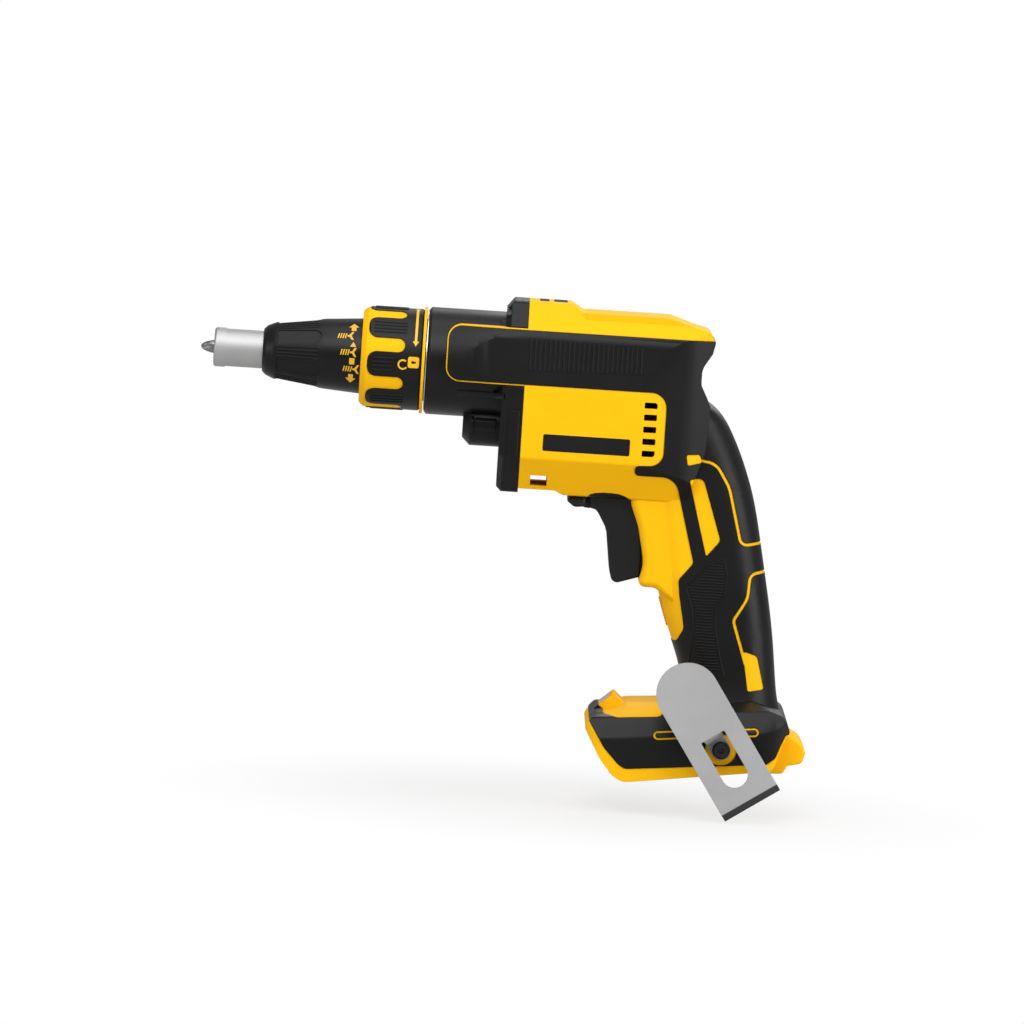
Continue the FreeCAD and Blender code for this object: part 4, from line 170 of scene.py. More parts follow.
sheet_steel = finish_material("stacked_sheet_steel", (0.2, 0.2, 0.21), (0.32, 0.32, 0.33), gloss=(0.35, 0.5),
                              grain=900.0, depth=0.06 * mm, metallic=1.0, stretch=(6, 0.1, 0.1))
enamel_copper = finish_material("enamelled_copper", (0.55, 0.2, 0.07), (0.75, 0.32, 0.13), gloss=(0.25, 0.4),
                                grain=1200.0, depth=0.15 * mm, metallic=1.0, stretch=(0.2, 2, 2))
ground_steel = finish_material("ground_steel", (0.4, 0.4, 0.41), (0.52, 0.52, 0.53), gloss=(0.2, 0.35),
                               grain=2200.0, depth=0.01 * mm, metallic=1.0, stretch=(3, 0.3, 0.3))
magnet_plate = finish_material("plated_magnet", (0.11, 0.11, 0.12), (0.18, 0.18, 0.19), gloss=(0.25, 0.4),
                               grain=1500.0, depth=0.01 * mm, metallic=0.8)
fan_nylon = finish_material("fan_nylon", (0.02, 0.02, 0.022), (0.035, 0.035, 0.037), gloss=(0.45, 0.6),
                            grain=2500.0, depth=0.02 * mm)
solder_mask = finish_material("solder_mask", (0.01, 0.09, 0.035), (0.02, 0.14, 0.05), gloss=(0.25, 0.4),
                              grain=700.0, depth=0.03 * mm)
dress(sheet_steel, "stator_core", "rotor_core")
dress(enamel_copper, "stator_coils")
dress(ground_steel, "motor_shaft", "front_bearing", "rear_bearing")
dress(magnet_plate, "rotor_magnets")
dress(fan_nylon, "cooling_fan")
dress(solder_mask, "sensor_board")


# Gear train: hardened pinion, output gear and clutch spindle in a bronze bush,
# carried by a die-cast plate between the gear case and the motor.

cast_plate = finish_material("cast_aluminium", (0.52, 0.53, 0.54), (0.66, 0.67, 0.68), gloss=(0.4, 0.55),
                             grain=900.0, depth=0.05 * mm, metallic=1.0)
sintered_bronze = finish_material("sintered_bronze", (0.42, 0.26, 0.11), (0.55, 0.36, 0.17),
                                  gloss=(0.4, 0.55), grain=1800.0, depth=0.03 * mm, metallic=1.0)
dress(ground_steel, "pinion", "output_gear", "gear_bearing", "spindle", "thrust_washer")
dress(cast_plate, "gear_plate")
dress(sintered_bronze, "spindle_bush")


# Electronics: trigger switch, control module in a cast case and insulated leads,
# and the contact block with its brass blades that the battery slides onto.

switch_nylon = finish_material("switch_nylon", (0.025, 0.025, 0.028), (0.045, 0.045, 0.05),
                               gloss=(0.35, 0.5), grain=2500.0, depth=0.02 * mm)
red_insulation = finish_material("red_insulation", (0.32, 0.01, 0.01), (0.45, 0.02, 0.015),
                                 gloss=(0.35, 0.5), grain=900.0, depth=0.02 * mm)
black_insulation = finish_material("black_insulation", (0.02, 0.02, 0.02), (0.035, 0.035, 0.035),
                                   gloss=(0.35, 0.5), grain=900.0, depth=0.02 * mm)
plated_brass = finish_material("plated_brass", (0.6, 0.42, 0.16), (0.75, 0.56, 0.25), gloss=(0.2, 0.35),
                               grain=1500.0, depth=0.01 * mm, metallic=1.0)
dress(switch_nylon, "switch_body", "switch_plunger", "terminal_block")
dress(cast_plate, "control_module")
dress(red_insulation, "switch_leads", "battery_leads")
dress(black_insulation, "phase_leads")
dress(plated_brass, "battery_terminals")


# Housing: two glass-filled nylon shells, moulded in yellow with a fine spark-eroded grain,
# that meet in the middle plane and are screwed together from the far side.

weld_reach = 0.002 * mm
smooth_limit = math.radians(32)
sides = {"near": -1, "far": 1}


def merged(node):
    """Copy of a CAD node's mesh with its loose triangles joined."""
    shape = bmesh.new()
    shape.from_mesh(nodes[node].data)
    bmesh.ops.remove_doubles(shape, verts=shape.verts, dist=weld_reach)
    return shape


def placed(shape, name, body, slot, material, *stands_for):
    """Object of a finished shape, shaded evenly up to an angle, riding on its body."""
    mesh = bpy.data.meshes.new(name)
    shape.to_mesh(mesh)
    shape.free()
    carried_normals = mesh.attributes.get("custom_normal")
    if carried_normals:
        mesh.attributes.remove(carried_normals)
    mesh.shade_smooth()
    mesh.set_sharp_from_angle(angle=smooth_limit)
    mesh.materials.append(material)
    piece = bpy.data.objects.new(name, mesh)
    bpy.context.scene.collection.objects.link(piece)
    evened = piece.modifiers.new("even_shading", "WEIGHTED_NORMAL")
    evened.keep_sharp = True
    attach(piece, body)
    if stands_for:
        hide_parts(*stands_for)
    return piece


def product(tree, first, second):
    """Socket with the product of two others."""
    node = add_math(tree, "ShaderNodeMath", "MULTIPLY")
    tree.links.new(first, node.inputs[0])
    tree.links.new(second, node.inputs[1])
    return node.outputs[0]


def span_mask(tree, value, low, high, edge):
    """One between two limits of a coordinate, with a short soft edge."""
    rise = add_node(tree, "ShaderNodeMapRange", From_Min=low - edge, From_Max=low + edge)
    fall = add_node(tree, "ShaderNodeMapRange", From_Min=high - edge, From_Max=high + edge,
                    To_Min=1.0, To_Max=0.0)
    for ramp in (rise, fall):
        tree.links.new(value, ramp.inputs["Value"])
    return product(tree, rise.outputs["Result"], fall.outputs["Result"])


def inked(material, colour, limits, edge):
    """Darkens a finish inside a box given by its limits along some of X, Y and Z."""
    tree = material.node_tree
    place = tree.nodes.new("ShaderNodeTexCoord")
    axes = tree.nodes.new("ShaderNodeSeparateXYZ")
    tree.links.new(place.outputs["Object"], axes.inputs["Vector"])
    inside = None
    for label, span in limits.items():
        mask = span_mask(tree, axes.outputs[label], *span, edge)
        inside = product(tree, inside, mask) if inside else mask
    base = tree.nodes["Principled BSDF"].inputs["Base Color"]
    tree.links.new(colour_mix(tree, inside, base.links[0].from_socket, colour), base)


deep_yellow, pale_yellow = (0.92, 0.475, 0.0015), (0.95, 0.505, 0.002)
yellow_nylon, shell_nylon = [
    finish_material(name, deep_yellow, pale_yellow, gloss=(0.58, 0.68), grain=3200.0, depth=0.012 * mm,
                    edge=0.5 * mm, shine=0.12)
    for name in ("yellow_nylon", "shell_nylon")]
seam_brown = (0.16, 0.06, 0.001)
seam_half, seam_edge = 0.13 * mm, 0.04 * mm
inked(shell_nylon, seam_brown, {"Y": (-seam_half, seam_half)}, seam_edge)
field_black = (0.003, 0.003, 0.003)
field_half, field_depth, field_edge = 10 * mm, 0.4 * mm, 0.05 * mm
block_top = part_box("housing_near")[1][2]
for field in ((140.6 * mm, 144.5 * mm), (146.5 * mm, 152.2 * mm)):
    inked(shell_nylon, field_black, {"X": field, "Y": (-field_half, field_half),
                                     "Z": (block_top - field_depth, block_top + field_depth)}, field_edge)
for word in sides:
    placed(merged(f"housing_{word}"), f"shell_{word}", "tool", "yellow_nylon", shell_nylon, f"housing_{word}")


# Springs: coils of spring-steel wire behind the spindle and behind the trigger,
# which shorten as the bit is pressed in and as the trigger is pulled.

clutch_coil, trigger_coil = [
    placed(merged(node), name, "tool", "hardened_steel", ground_steel, node)
    for node, name in (("clutch_spring", "clutch_coil"), ("trigger_spring", "trigger_coil"))]
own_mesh(clutch_coil)
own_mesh(trigger_coil)


# Air guide: black nylon disc clipped in behind the fan, round the shaft,
# which turns the fan's draught out of the side vents.

def turned(outline, level=0.0, closed=True, steps=72):
    """Shape turned from an outline of (X, radius) points about a line along X at a height."""
    shape = bmesh.new()
    rim = [shape.verts.new((x, 0, level + radius)) for x, radius in outline]
    loop = [shape.edges.new(pair) for pair in zip(rim, rim[1:] + rim[:1] if closed else rim[1:])]
    bmesh.ops.spin(shape, geom=rim + loop, cent=(0, 0, level), axis=(1, 0, 0), angle=math.tau, steps=steps,
                   use_merge=True)
    return shape


def corners_of(shape, angle):
    """Edges that bend by more than an angle in degrees."""
    return [edge for edge in shape.edges if edge.calc_face_angle(0) > math.radians(angle)]


def rounded(shape, edges, radius, segments):
    """Rounds edges of a shape."""
    bmesh.ops.bevel(shape, geom=edges, offset=radius, segments=segments, profile=0.5, affect="EDGES",
                    material=-1)


motor_level = -24.8 * mm
guide_front, guide_rear = 190.95 * mm, 191.95 * mm
guide_bore, guide_rim = 3.2 * mm, 20.5 * mm
guide = turned([(guide_front, guide_bore), (guide_rear, guide_bore), (guide_rear, guide_rim),
                (guide_front, guide_rim)], motor_level, steps=64)
bmesh.ops.recalc_face_normals(guide, faces=guide.faces)
rounded(guide, corners_of(guide, 45), 0.25 * mm, 2)
placed(guide, "air_guide", "tool", "black_nylon", fan_nylon)


# Handle serrations: short cross ridges moulded on the front of the yellow grip strip,
# where the middle finger closes under the trigger.

def skin_of(*names):
    """Search tree over CAD nodes, for laying detail onto them."""
    shape = bmesh.new()
    for name in names:
        shape.from_mesh(nodes[name].data)
    tree = BVHTree.FromBMesh(shape)
    shape.free()
    return tree


def add_bar(shape, start, end, width, height, root, steps):
    """Round-topped bar between two flat points (X, Z), with its height along Y and a root below."""
    run = Vector((end[0] - start[0], 0, end[1] - start[1]))
    across = run.normalized().cross(Vector((0, 1, 0))) * width
    base = Vector((start[0], 0, start[1]))
    half_section = [(0.5, -root), (0.5, height * 0.4), (0.25, height)]
    section = [(-side, rise) for side, rise in half_section] + half_section[::-1]
    cap = shape.faces.new([shape.verts.new(base + across * side + Vector((0, rise, 0)))
                           for side, rise in section])
    for step in range(steps):
        grown = bmesh.ops.extrude_face_region(shape, geom=[cap])["geom"]
        moved = [item for item in grown if isinstance(item, bmesh.types.BMVert)]
        bmesh.ops.translate(shape, verts=moved, vec=run / steps)
        if step:
            shape.faces.remove(cap)
        cap = [item for item in grown if isinstance(item, bmesh.types.BMFace)][0]


def laid_along(shape, skin, start, reach):
    """Lays flat work, with its height in Y, onto a skin seen from a start plane along a direction."""
    for vert in shape.verts:
        hit = skin.ray_cast(start(vert.co), reach)[0]
        vert.co = hit - reach * vert.co.y
    bmesh.ops.recalc_face_normals(shape, faces=shape.faces)


shell_skin = skin_of("housing_near", "housing_far")
ridge_count = 10
ridge_top, ridge_pitch, ridge_half = -93.5 * mm, 1.2 * mm, 5.5 * mm
ridge_width, ridge_height, ridge_root = 0.75 * mm, 0.6 * mm, 0.4 * mm
before_strip = 150 * mm
ridges = bmesh.new()
for index in range(ridge_count):
    level = ridge_top - index * ridge_pitch
    add_bar(ridges, (-ridge_half, level), (ridge_half, level), ridge_width, ridge_height, ridge_root, 8)
laid_along(ridges, shell_skin, lambda co: Vector((before_strip, co.x, co.z)), Vector((1, 0, 0)))
placed(ridges, "strip_ridges", "tool", "yellow_nylon", yellow_nylon)


# Overmould: soft black rubber with a finely matted skin, shot onto each shell in a second mould,
# over the grip, the side panel and the foot.

soft_rubber = finish_material("soft_rubber", (0.0034, 0.0032, 0.003), (0.005, 0.0048, 0.0046),
                              gloss=(0.37, 0.46), grain=2600.0, depth=0.03 * mm, edge=0.4 * mm, shine=0.2)
for word in sides:
    placed(merged(f"grip_{word}"), f"rubber_{word}", "tool", "black_rubber", soft_rubber, f"grip_{word}")


# Neck plugs: two small rubber plugs set flush into the rear of the neck, over the slits where the rooms
# for the switch leads come through its wall. Each is laid on the plain wall beside them and moved over.

neck_skin = skin_of("grip_near", "grip_far")
plug_low, plug_high = -4.4 * mm, -1.2 * mm
plug_width, plug_height, plug_root = 1.8 * mm, 0.04 * mm, 0.15 * mm
slit_place, plain_place = 4.5 * mm, 2.0 * mm
behind_neck = 300 * mm
for word, side in sides.items():
    plug = bmesh.new()
    add_bar(plug, (side * plain_place, plug_low), (side * plain_place, plug_high), plug_width, plug_height,
            plug_root, 8)
    laid_along(plug, neck_skin, lambda co: Vector((behind_neck, co.x, co.z)), Vector((-1, 0, 0)))
    bmesh.ops.translate(plug, verts=plug.verts, vec=(0, side * (slit_place - plain_place), 0))
    placed(plug, f"neck_plug_{word}", "tool", "black_rubber", soft_rubber)


# Side panel ribs: a row of upright ribs in the rubber of each side panel, for thumb and fingers,
# cut into the same mould as the overmould.

beside_tool = 80 * mm


def laid_on_side(shape, skin, side):
    """Lays flat work onto the near (-1) or far (+1) side of the tool."""
    laid_along(shape, skin, lambda co: Vector((co.x, side * beside_tool, co.z)), Vector((0, -side, 0)))


rib_count = 24
rib_first = (137.8 * mm, 13.8 * mm, 0.0)
rib_last = (184.2 * mm, 12.2 * mm, 1.3 * mm)
rib_width, rib_height, rib_root = 0.9 * mm, 0.35 * mm, 0.3 * mm
for word, side in sides.items():
    ribs = bmesh.new()
    for index in range(rib_count):
        share = index / (rib_count - 1)
        along, top, low = (first + (last - first) * share for first, last in zip(rib_first, rib_last))
        add_bar(ribs, (along, low), (along, top), rib_width, rib_height, rib_root, 8)
    laid_on_side(ribs, skin_of(f"grip_{word}"), side)
    placed(ribs, f"panel_ribs_{word}", "tool", "black_rubber", soft_rubber)


# Grip patches: waisted fields of fine cross ribs on both cheeks of the handle,
# framed by a thin bead in the same rubber.

patch_front = [(224.2, -74.0), (217.6, -77.5), (209.0, -86.8), (212.6, -96.8), (213.3, -105.8),
               (212.7, -115.8), (211.5, -123.8)]
patch_rear = [(224.2, -74.0), (225.9, -80.8), (225.8, -88.8), (222.5, -95.1), (222.3, -102.5),
              (225.0, -114.8), (227.5, -123.8)]
row_count, row_pitch, row_shortest, bead_room = 37, 1.25, 1.5, 1.0
row_first = patch_front[0][1] - 1.5 * row_pitch
row_width, row_height = 0.65 * mm, 0.28 * mm
bead_width, bead_height = 0.7 * mm, 0.3 * mm
patch_root = 0.3 * mm


def border_at(border, level):
    """Place along X of a border at a height, on its straight runs."""
    for (x0, z0), (x1, z1) in zip(border, border[1:]):
        if z1 <= level <= z0:
            return x0 + (x1 - x0) * (level - z0) / (z1 - z0)


for word, side in sides.items():
    patch = bmesh.new()
    for row in range(row_count):
        level = row_first - row * row_pitch
        front = border_at(patch_front, level) + bead_room
        rear = border_at(patch_rear, level) - bead_room
        if rear - front > row_shortest:
            add_bar(patch, Vector((front, level)) * mm, Vector((rear, level)) * mm, row_width, row_height,
                    patch_root, 6)
    for border in (patch_front, patch_rear):
        for start, end in zip(border, border[1:]):
            add_bar(patch, Vector(start) * mm, Vector(end) * mm, bead_width, bead_height, patch_root, 4)
    laid_on_side(patch, skin_of(f"grip_{word}"), side)
    placed(patch, f"grip_patch_{word}", "tool", "black_rubber", soft_rubber)


# Gear case: one moulding in black glass-filled nylon, with a boss for the pinion under it and low
# stiffening pads on both sides, screwed to the front of the two shells.

deep_black, pale_black = (0.0034, 0.0034, 0.0035), (0.005, 0.005, 0.0051)
black_nylon = finish_material("black_nylon", deep_black, pale_black, gloss=(0.31, 0.4), grain=2800.0,
                              depth=0.02 * mm, edge=0.5 * mm, shine=0.2)
placed(merged("gear_case"), "gear_case_shell", "tool", "black_nylon", black_nylon, "gear_case")
case_pads = (((133.0, -17.0), (133.0, -42.0), 4.2, 0.7), ((116.6, -24.8), (125.4, -24.8), 5.6, 1.1),
             ((114.9, -24.8), (116.2, -24.8), 6.8, 1.5), ((108.5, -11.6), (128.0, -11.6), 2.4, 0.6))
pad_root = 0.8 * mm
case_skin = skin_of("gear_case")
for word, side in sides.items():
    pads = bmesh.new()
    for start, end, width, height in case_pads:
        add_bar(pads, Vector(start) * mm, Vector(end) * mm, width * mm, height * mm, pad_root, 4)
    laid_on_side(pads, case_skin, side)
    placed(pads, f"case_pads_{word}", "tool", "black_nylon", black_nylon)


# Depth collar: yellow nylon ring with round-tipped fingers, and the black rubber moulded between
# and behind them, ribbed lengthwise where it is turned. It moves a nylon carrier inside.

beyond_girth = 60 * mm
girth_rib_height, girth_rib_root = 0.3 * mm, 0.4 * mm


def laid_round(shape, skin, radius):
    """Winds flat work (X along the drive axis, Z along the girth) round a turned piece."""
    for vert in shape.verts:
        turn = vert.co.z / radius
        outward = Vector((0, -math.cos(turn), math.sin(turn)))
        hit = skin.ray_cast(Vector((vert.co.x, 0, 0)) + outward * beyond_girth, -outward)[0]
        vert.co = hit + outward * vert.co.y
    bmesh.ops.recalc_face_normals(shape, faces=shape.faces)


def add_rib_sets(shape, radius, first_turn, reaches, pitch, width):
    """Sets of four lengthwise ribs at even places round a turned piece, each set with its reach in X."""
    for place, (front, rear) in enumerate(reaches):
        centre = math.radians(first_turn + 360 * place / len(reaches)) * radius
        for rib in (-1.5, -0.5, 0.5, 1.5):
            girth = centre + rib * pitch
            add_bar(shape, (front, girth), (rear, girth), width, girth_rib_height, girth_rib_root, 2)


placed(merged("depth_collar"), "collar_body", "collar", "yellow_nylon", yellow_nylon, "depth_collar")
placed(merged("collar_grip"), "collar_pads", "collar", "black_rubber", soft_rubber, "collar_grip")
dress(switch_nylon, "depth_ring")
dress(ground_steel, "collar_snap_ring", "collar_washer")
collar_skin = skin_of("collar_grip")
collar_radius = 21.3 * mm
pad_front, pad_rear, sign_pad_rear = 72.2 * mm, 86.0 * mm, 80.6 * mm
pad_reaches = [(pad_front, sign_pad_rear)] + [(pad_front, pad_rear)] * 7
collar_ribs = bmesh.new()
add_rib_sets(collar_ribs, collar_radius, -4.2, pad_reaches, 1.7 * mm, 0.8 * mm)
laid_round(collar_ribs, collar_skin, collar_radius)
placed(collar_ribs, "collar_ribs", "collar", "black_rubber", soft_rubber)


# Collar signs: a double arrow for the turn and an open padlock, pad-printed in yellow ink
# on the rubber behind the fingers.

def add_plate(shape, outline, height, root):
    """Thin plate over a flat outline along X and Z, with its height along Y and a root below."""
    face = shape.faces.new([shape.verts.new((x * mm, -root, z * mm)) for x, z in outline])
    grown = bmesh.ops.extrude_face_region(shape, geom=[face])["geom"]
    moved = [item for item in grown if isinstance(item, bmesh.types.BMVert)]
    bmesh.ops.translate(shape, verts=moved, vec=(0, height + root, 0))


def sliced(shape, step):
    """Cuts flat work across at even steps along Z, so that it can follow a curved skin."""
    levels = [vert.co.z for vert in shape.verts]
    low, high = min(levels), max(levels)
    for index in range(1, math.ceil((high - low) / step)):
        everything = shape.verts[:] + shape.edges[:] + shape.faces[:]
        bmesh.ops.bisect_plane(shape, geom=everything, dist=0.0001 * mm, plane_co=(0, 0, low + index * step),
                               plane_no=(0, 0, 1))


def arc(x, z, radius, start, end, steps):
    """Points on a circle between two angles in degrees."""
    angles = [math.radians(start + (end - start) * index / steps) for index in range(steps + 1)]
    return [(x + radius * math.cos(angle), z + radius * math.sin(angle)) for angle in angles]


def round_cornered(front, rear, low, high, corner):
    """Outline of a rectangle with rounded corners."""
    outline = []
    for start, x, z in ((0, rear - corner, high - corner), (90, front + corner, high - corner),
                        (180, front + corner, low + corner), (270, rear - corner, low + corner)):
        outline += arc(x, z, corner, start, start + 90, 4)
    return outline


ink_yellow = finish_material("sign_ink", (0.82, 0.44, 0.002), (0.88, 0.48, 0.003), gloss=(0.4, 0.5),
                             grain=2600.0, depth=0.01 * mm)
ink_height, ink_root, ink_step = 0.06 * mm, 0.12 * mm, 0.8 * mm
arrow_x, arrow_low, arrow_high = 89.9, 6.7, 31.3
arrow_head, head_half, stem_half = 2.2, 1.3, 0.52
arrow_side = [(0.0, arrow_low), (head_half, arrow_low + arrow_head), (stem_half, arrow_low + arrow_head),
              (stem_half, arrow_high - arrow_head), (head_half, arrow_high - arrow_head), (0.0, arrow_high)]
turn_arrow = arrow_side + [(-x, z) for x, z in reversed(arrow_side[1:-1])]
lock_x, lock_z, lock_half, lock_corner = 89.4, -0.1, 2.35, 0.9
lock_body = round_cornered(lock_x - lock_half, lock_x + lock_half, lock_z - lock_half, lock_z + lock_half,
                           lock_corner)
shackle_x, shackle_z, shackle_outside, shackle_inside = 85.0, -1.2, 2.2, 1.5
shackle = arc(shackle_x, shackle_z, shackle_outside, 50, 325, 18)
shackle += arc(shackle_x, shackle_z, shackle_inside, 325, 50, 18)
collar_signs = bmesh.new()
for outline in ([(arrow_x + x, z) for x, z in turn_arrow], lock_body, shackle):
    add_plate(collar_signs, outline, ink_height, ink_root)
sliced(collar_signs, ink_step)
laid_round(collar_signs, collar_skin, collar_radius)
placed(collar_signs, "collar_signs", "collar", "yellow_nylon", ink_yellow)
keyhole_outline = arc(lock_x - 0.3, lock_z, 0.62, 40, 320, 10)
keyhole_outline += [(lock_x + 1.0, lock_z - 0.35), (lock_x + 1.0, lock_z + 0.35)]
keyhole = bmesh.new()
add_plate(keyhole, keyhole_outline, 2 * ink_height, ink_root)
laid_round(keyhole, collar_skin, collar_radius)
placed(keyhole, "padlock_keyhole", "collar", "black_rubber", soft_rubber)


# Nose cone: black nylon cone with finger recesses and lengthwise ribs between them,
# pushed onto the depth carrier and held by a rubber O-ring.

placed(merged("nose_cone"), "cone", "nose", "black_nylon", black_nylon, "nose_cone")
dress(soft_rubber, "nose_o_ring")
cone_skin = skin_of("nose_cone")
cone_rib_radius = 13.4 * mm
cone_rib_reaches = [(31.5 * mm, 49.4 * mm)] * 6
cone_ribs = bmesh.new()
add_rib_sets(cone_ribs, cone_rib_radius, 3.0, cone_rib_reaches, 1.45 * mm, 0.75 * mm)
laid_round(cone_ribs, cone_skin, cone_rib_radius)
placed(cone_ribs, "cone_ribs", "nose", "black_nylon", black_nylon)


# Depth signs: a row of screws set at three depths, with arrows for deeper and shallower,
# pad-printed in yellow ink round the rear of the cone.

sign_radius = 15.4
thread_signs = [[(x, -1.2), (x + 0.5, -1.2), (x + 1.0, 1.2), (x + 0.5, 1.2)] for x in (0.0, 1.0, 2.0, 3.0)]
head_side = [(4.1, 0.4), (4.9, 0.4), (6.0, 1.9), (6.9, 1.9), (5.8, 0.0)]
head_sign = head_side + [(x, -z) for x, z in reversed(head_side[:-1])]
screw_signs = thread_signs + [head_sign]
arrow_sign = [(-2.1, 0.0), (0.0, 2.5), (2.1, 0.0), (1.0, 0.0), (1.0, -2.0), (-1.0, -2.0), (-1.0, 0.0)]
spade_sign = [(-1.3, -0.9), (1.3, -0.9), (0.0, 1.2)]
block_sign = [(-1.1, -1.3), (1.1, -1.3), (1.1, 1.3), (-1.1, 1.3)]
cone_signs = bmesh.new()
for outlines, x, turn, flip in (([arrow_sign], 63.7, 52.0, 1), (screw_signs, 57.0, 35.0, 1),
                                ([spade_sign], 63.8, 20.0, 1), (screw_signs, 58.5, 8.0, 1),
                                ([block_sign], 63.6, -5.8, 1), (screw_signs, 59.9, -18.2, 1),
                                ([arrow_sign], 63.4, -34.4, -1)):
    girth = math.radians(turn) * sign_radius
    for outline in outlines:
        add_plate(cone_signs, [(x + dx, girth + flip * dz) for dx, dz in outline], ink_height, ink_root)
sliced(cone_signs, ink_step)
laid_round(cone_signs, cone_skin, sign_radius * mm)
placed(cone_signs, "cone_signs", "nose", "black_nylon", ink_yellow)


# Locator sleeve: turned steel tube with a thicker lip that stops on the board,
# pressed into the tip of the nose cone.

satin_steel = finish_material("satin_steel", (0.37, 0.37, 0.37), (0.46, 0.46, 0.46), gloss=(0.5, 0.6),
                              grain=1500.0, depth=0.01 * mm, metallic=1.0, stretch=(4, 0.2, 0.2))
sleeve_front, sleeve_rear = (corner[0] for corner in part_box("bit_locator"))
sleeve_radius, sleeve_lip, sleeve_bore = 7.9 * mm, 8.25 * mm, 5.8 * mm
bore_chamfer, lip_chamfer = 0.5 * mm, 0.7 * mm
lip_rear, step_rear = sleeve_front + 4.4 * mm, sleeve_front + 5.2 * mm
sleeve = turned([(sleeve_front, sleeve_bore + bore_chamfer), (sleeve_front, sleeve_lip - lip_chamfer),
                 (sleeve_front + lip_chamfer, sleeve_lip), (lip_rear, sleeve_lip),
                 (step_rear, sleeve_radius), (sleeve_rear, sleeve_radius), (sleeve_rear, sleeve_bore),
                 (sleeve_front + bore_chamfer, sleeve_bore)])
bmesh.ops.recalc_face_normals(sleeve, faces=sleeve.faces)
rounded(sleeve, corners_of(sleeve, 25), 0.25 * mm, 3)
placed(sleeve, "locator_sleeve", "nose", "satin_steel", satin_steel, "bit_locator")


# Insert bit: hardened steel bit with a four-fluted cross point on a hexagon shank,
# held by the magnet in its steel holder.

bit_steel = finish_material("bit_steel", (0.16, 0.16, 0.17), (0.24, 0.24, 0.25), gloss=(0.28, 0.4),
                            grain=1800.0, depth=0.01 * mm, metallic=1.0)
dress(ground_steel, "bit_holder")
dress(magnet_plate, "bit_magnet")
point_outline = [(0.0, 0.0), (0.0, 0.5), (0.35, 1.1), (1.1, 1.75), (2.2, 2.3), (3.6, 2.7), (5.2, 2.95),
                 (9.0, 3.0), (9.0, 0.0)]
flute_end, flute_depth, flute_count = 6.5 * mm, 0.42, 4
shank_front, shank_rear, shank_corner = 8.8 * mm, 25.0 * mm, 3.66 * mm
bit = turned([(x * mm, radius * mm) for x, radius in point_outline], closed=False, steps=48)
bmesh.ops.remove_doubles(bit, verts=bit.verts, dist=0.001 * mm)
for vert in bit.verts:
    if vert.co.x < flute_end:
        turn = math.atan2(vert.co.z, vert.co.y)
        cut = flute_depth * (1 - vert.co.x / flute_end) * (0.5 + 0.5 * math.cos(flute_count * turn)) ** 2
        vert.co.y *= 1 - cut
        vert.co.z *= 1 - cut
lying = Matrix.Rotation(math.pi / 2, 4, "Y")
bmesh.ops.create_cone(bit, cap_ends=True, segments=6, radius1=shank_corner, radius2=shank_corner,
                      depth=shank_rear - shank_front,
                      matrix=Matrix.Translation(((shank_front + shank_rear) / 2, 0, 0)) @ lying)
bmesh.ops.recalc_face_normals(bit, faces=bit.faces)
placed(bit, "insert_bit", "spindle", "bit_steel", bit_steel, "driver_bit")


# Trigger: black nylon moulding with well rounded edges and thin skirts behind its sides, which slides
# up its slope into the grip, under a thin black trim on the shells.

trigger_nylon = finish_material("trigger_nylon", deep_black, pale_black, gloss=(0.33, 0.42), grain=2800.0,
                                depth=0.02 * mm, edge=1.6 * mm, shine=0.3)
placed(merged("trigger"), "trigger_blade", "trigger", "black_plastic", trigger_nylon, "trigger")
skirt_outline = [(189.2, -69.0), (190.4, -70.5), (191.0, -73.5), (191.1, -76.5), (190.8, -79.5),
                 (190.2, -82.0), (189.2, -83.5)]
skirt_inside, skirt_outside = 9.1 * mm, 9.9 * mm
skirts = bmesh.new()
add_plate(skirts, skirt_outline, -skirt_inside, skirt_outside)
rounded(skirts, skirts.edges[:], 0.2 * mm, 2)
bmesh.ops.mirror(skirts, geom=skirts.verts[:] + skirts.edges[:] + skirts.faces[:], axis="Y", merge_dist=-1)
bmesh.ops.recalc_face_normals(skirts, faces=skirts.faces)
placed(skirts, "trigger_skirts", "trigger", "black_plastic", trigger_nylon)
trim_outline = [(165.6, -51.9), (166.6, -50.7), (168.6, -50.0), (172.0, -49.6), (176.0, -49.6),
                (178.7, -49.85), (181.4, -50.75), (183.4, -51.9)]
trim_height, trim_root, trim_step = 0.2 * mm, 0.3 * mm, 0.3 * mm
for word, side in sides.items():
    trim = bmesh.new()
    add_plate(trim, trim_outline, trim_height, trim_root)
    sliced(trim, trim_step)
    laid_on_side(trim, shell_skin, side)
    placed(trim, f"trigger_trim_{word}", "tool", "black_plastic", black_nylon)


# Direction lever: black nylon bar above the trigger that swings about the switch's post,
# with a narrow heel under it that fills the gap above the trigger.

placed(merged("direction_lever"), "lever_blade", "lever", "black_plastic", trigger_nylon, "direction_lever")
heel_outline = [(163.6, -54.6), (168.4, -54.6), (168.4, -57.1), (166.6, -57.5), (164.6, -57.3),
                (163.6, -56.5)]
heel_half = 3.0 * mm
heel = bmesh.new()
add_plate(heel, heel_outline, heel_half, heel_half)
rounded(heel, heel.edges[:], 0.3 * mm, 2)
bmesh.ops.recalc_face_normals(heel, faces=heel.faces)
placed(heel, "lever_heel", "lever", "black_plastic", trigger_nylon)


# Side plates: blank dark film plates with rounded corners, stuck on both sides of the motor housing
# below its middle.

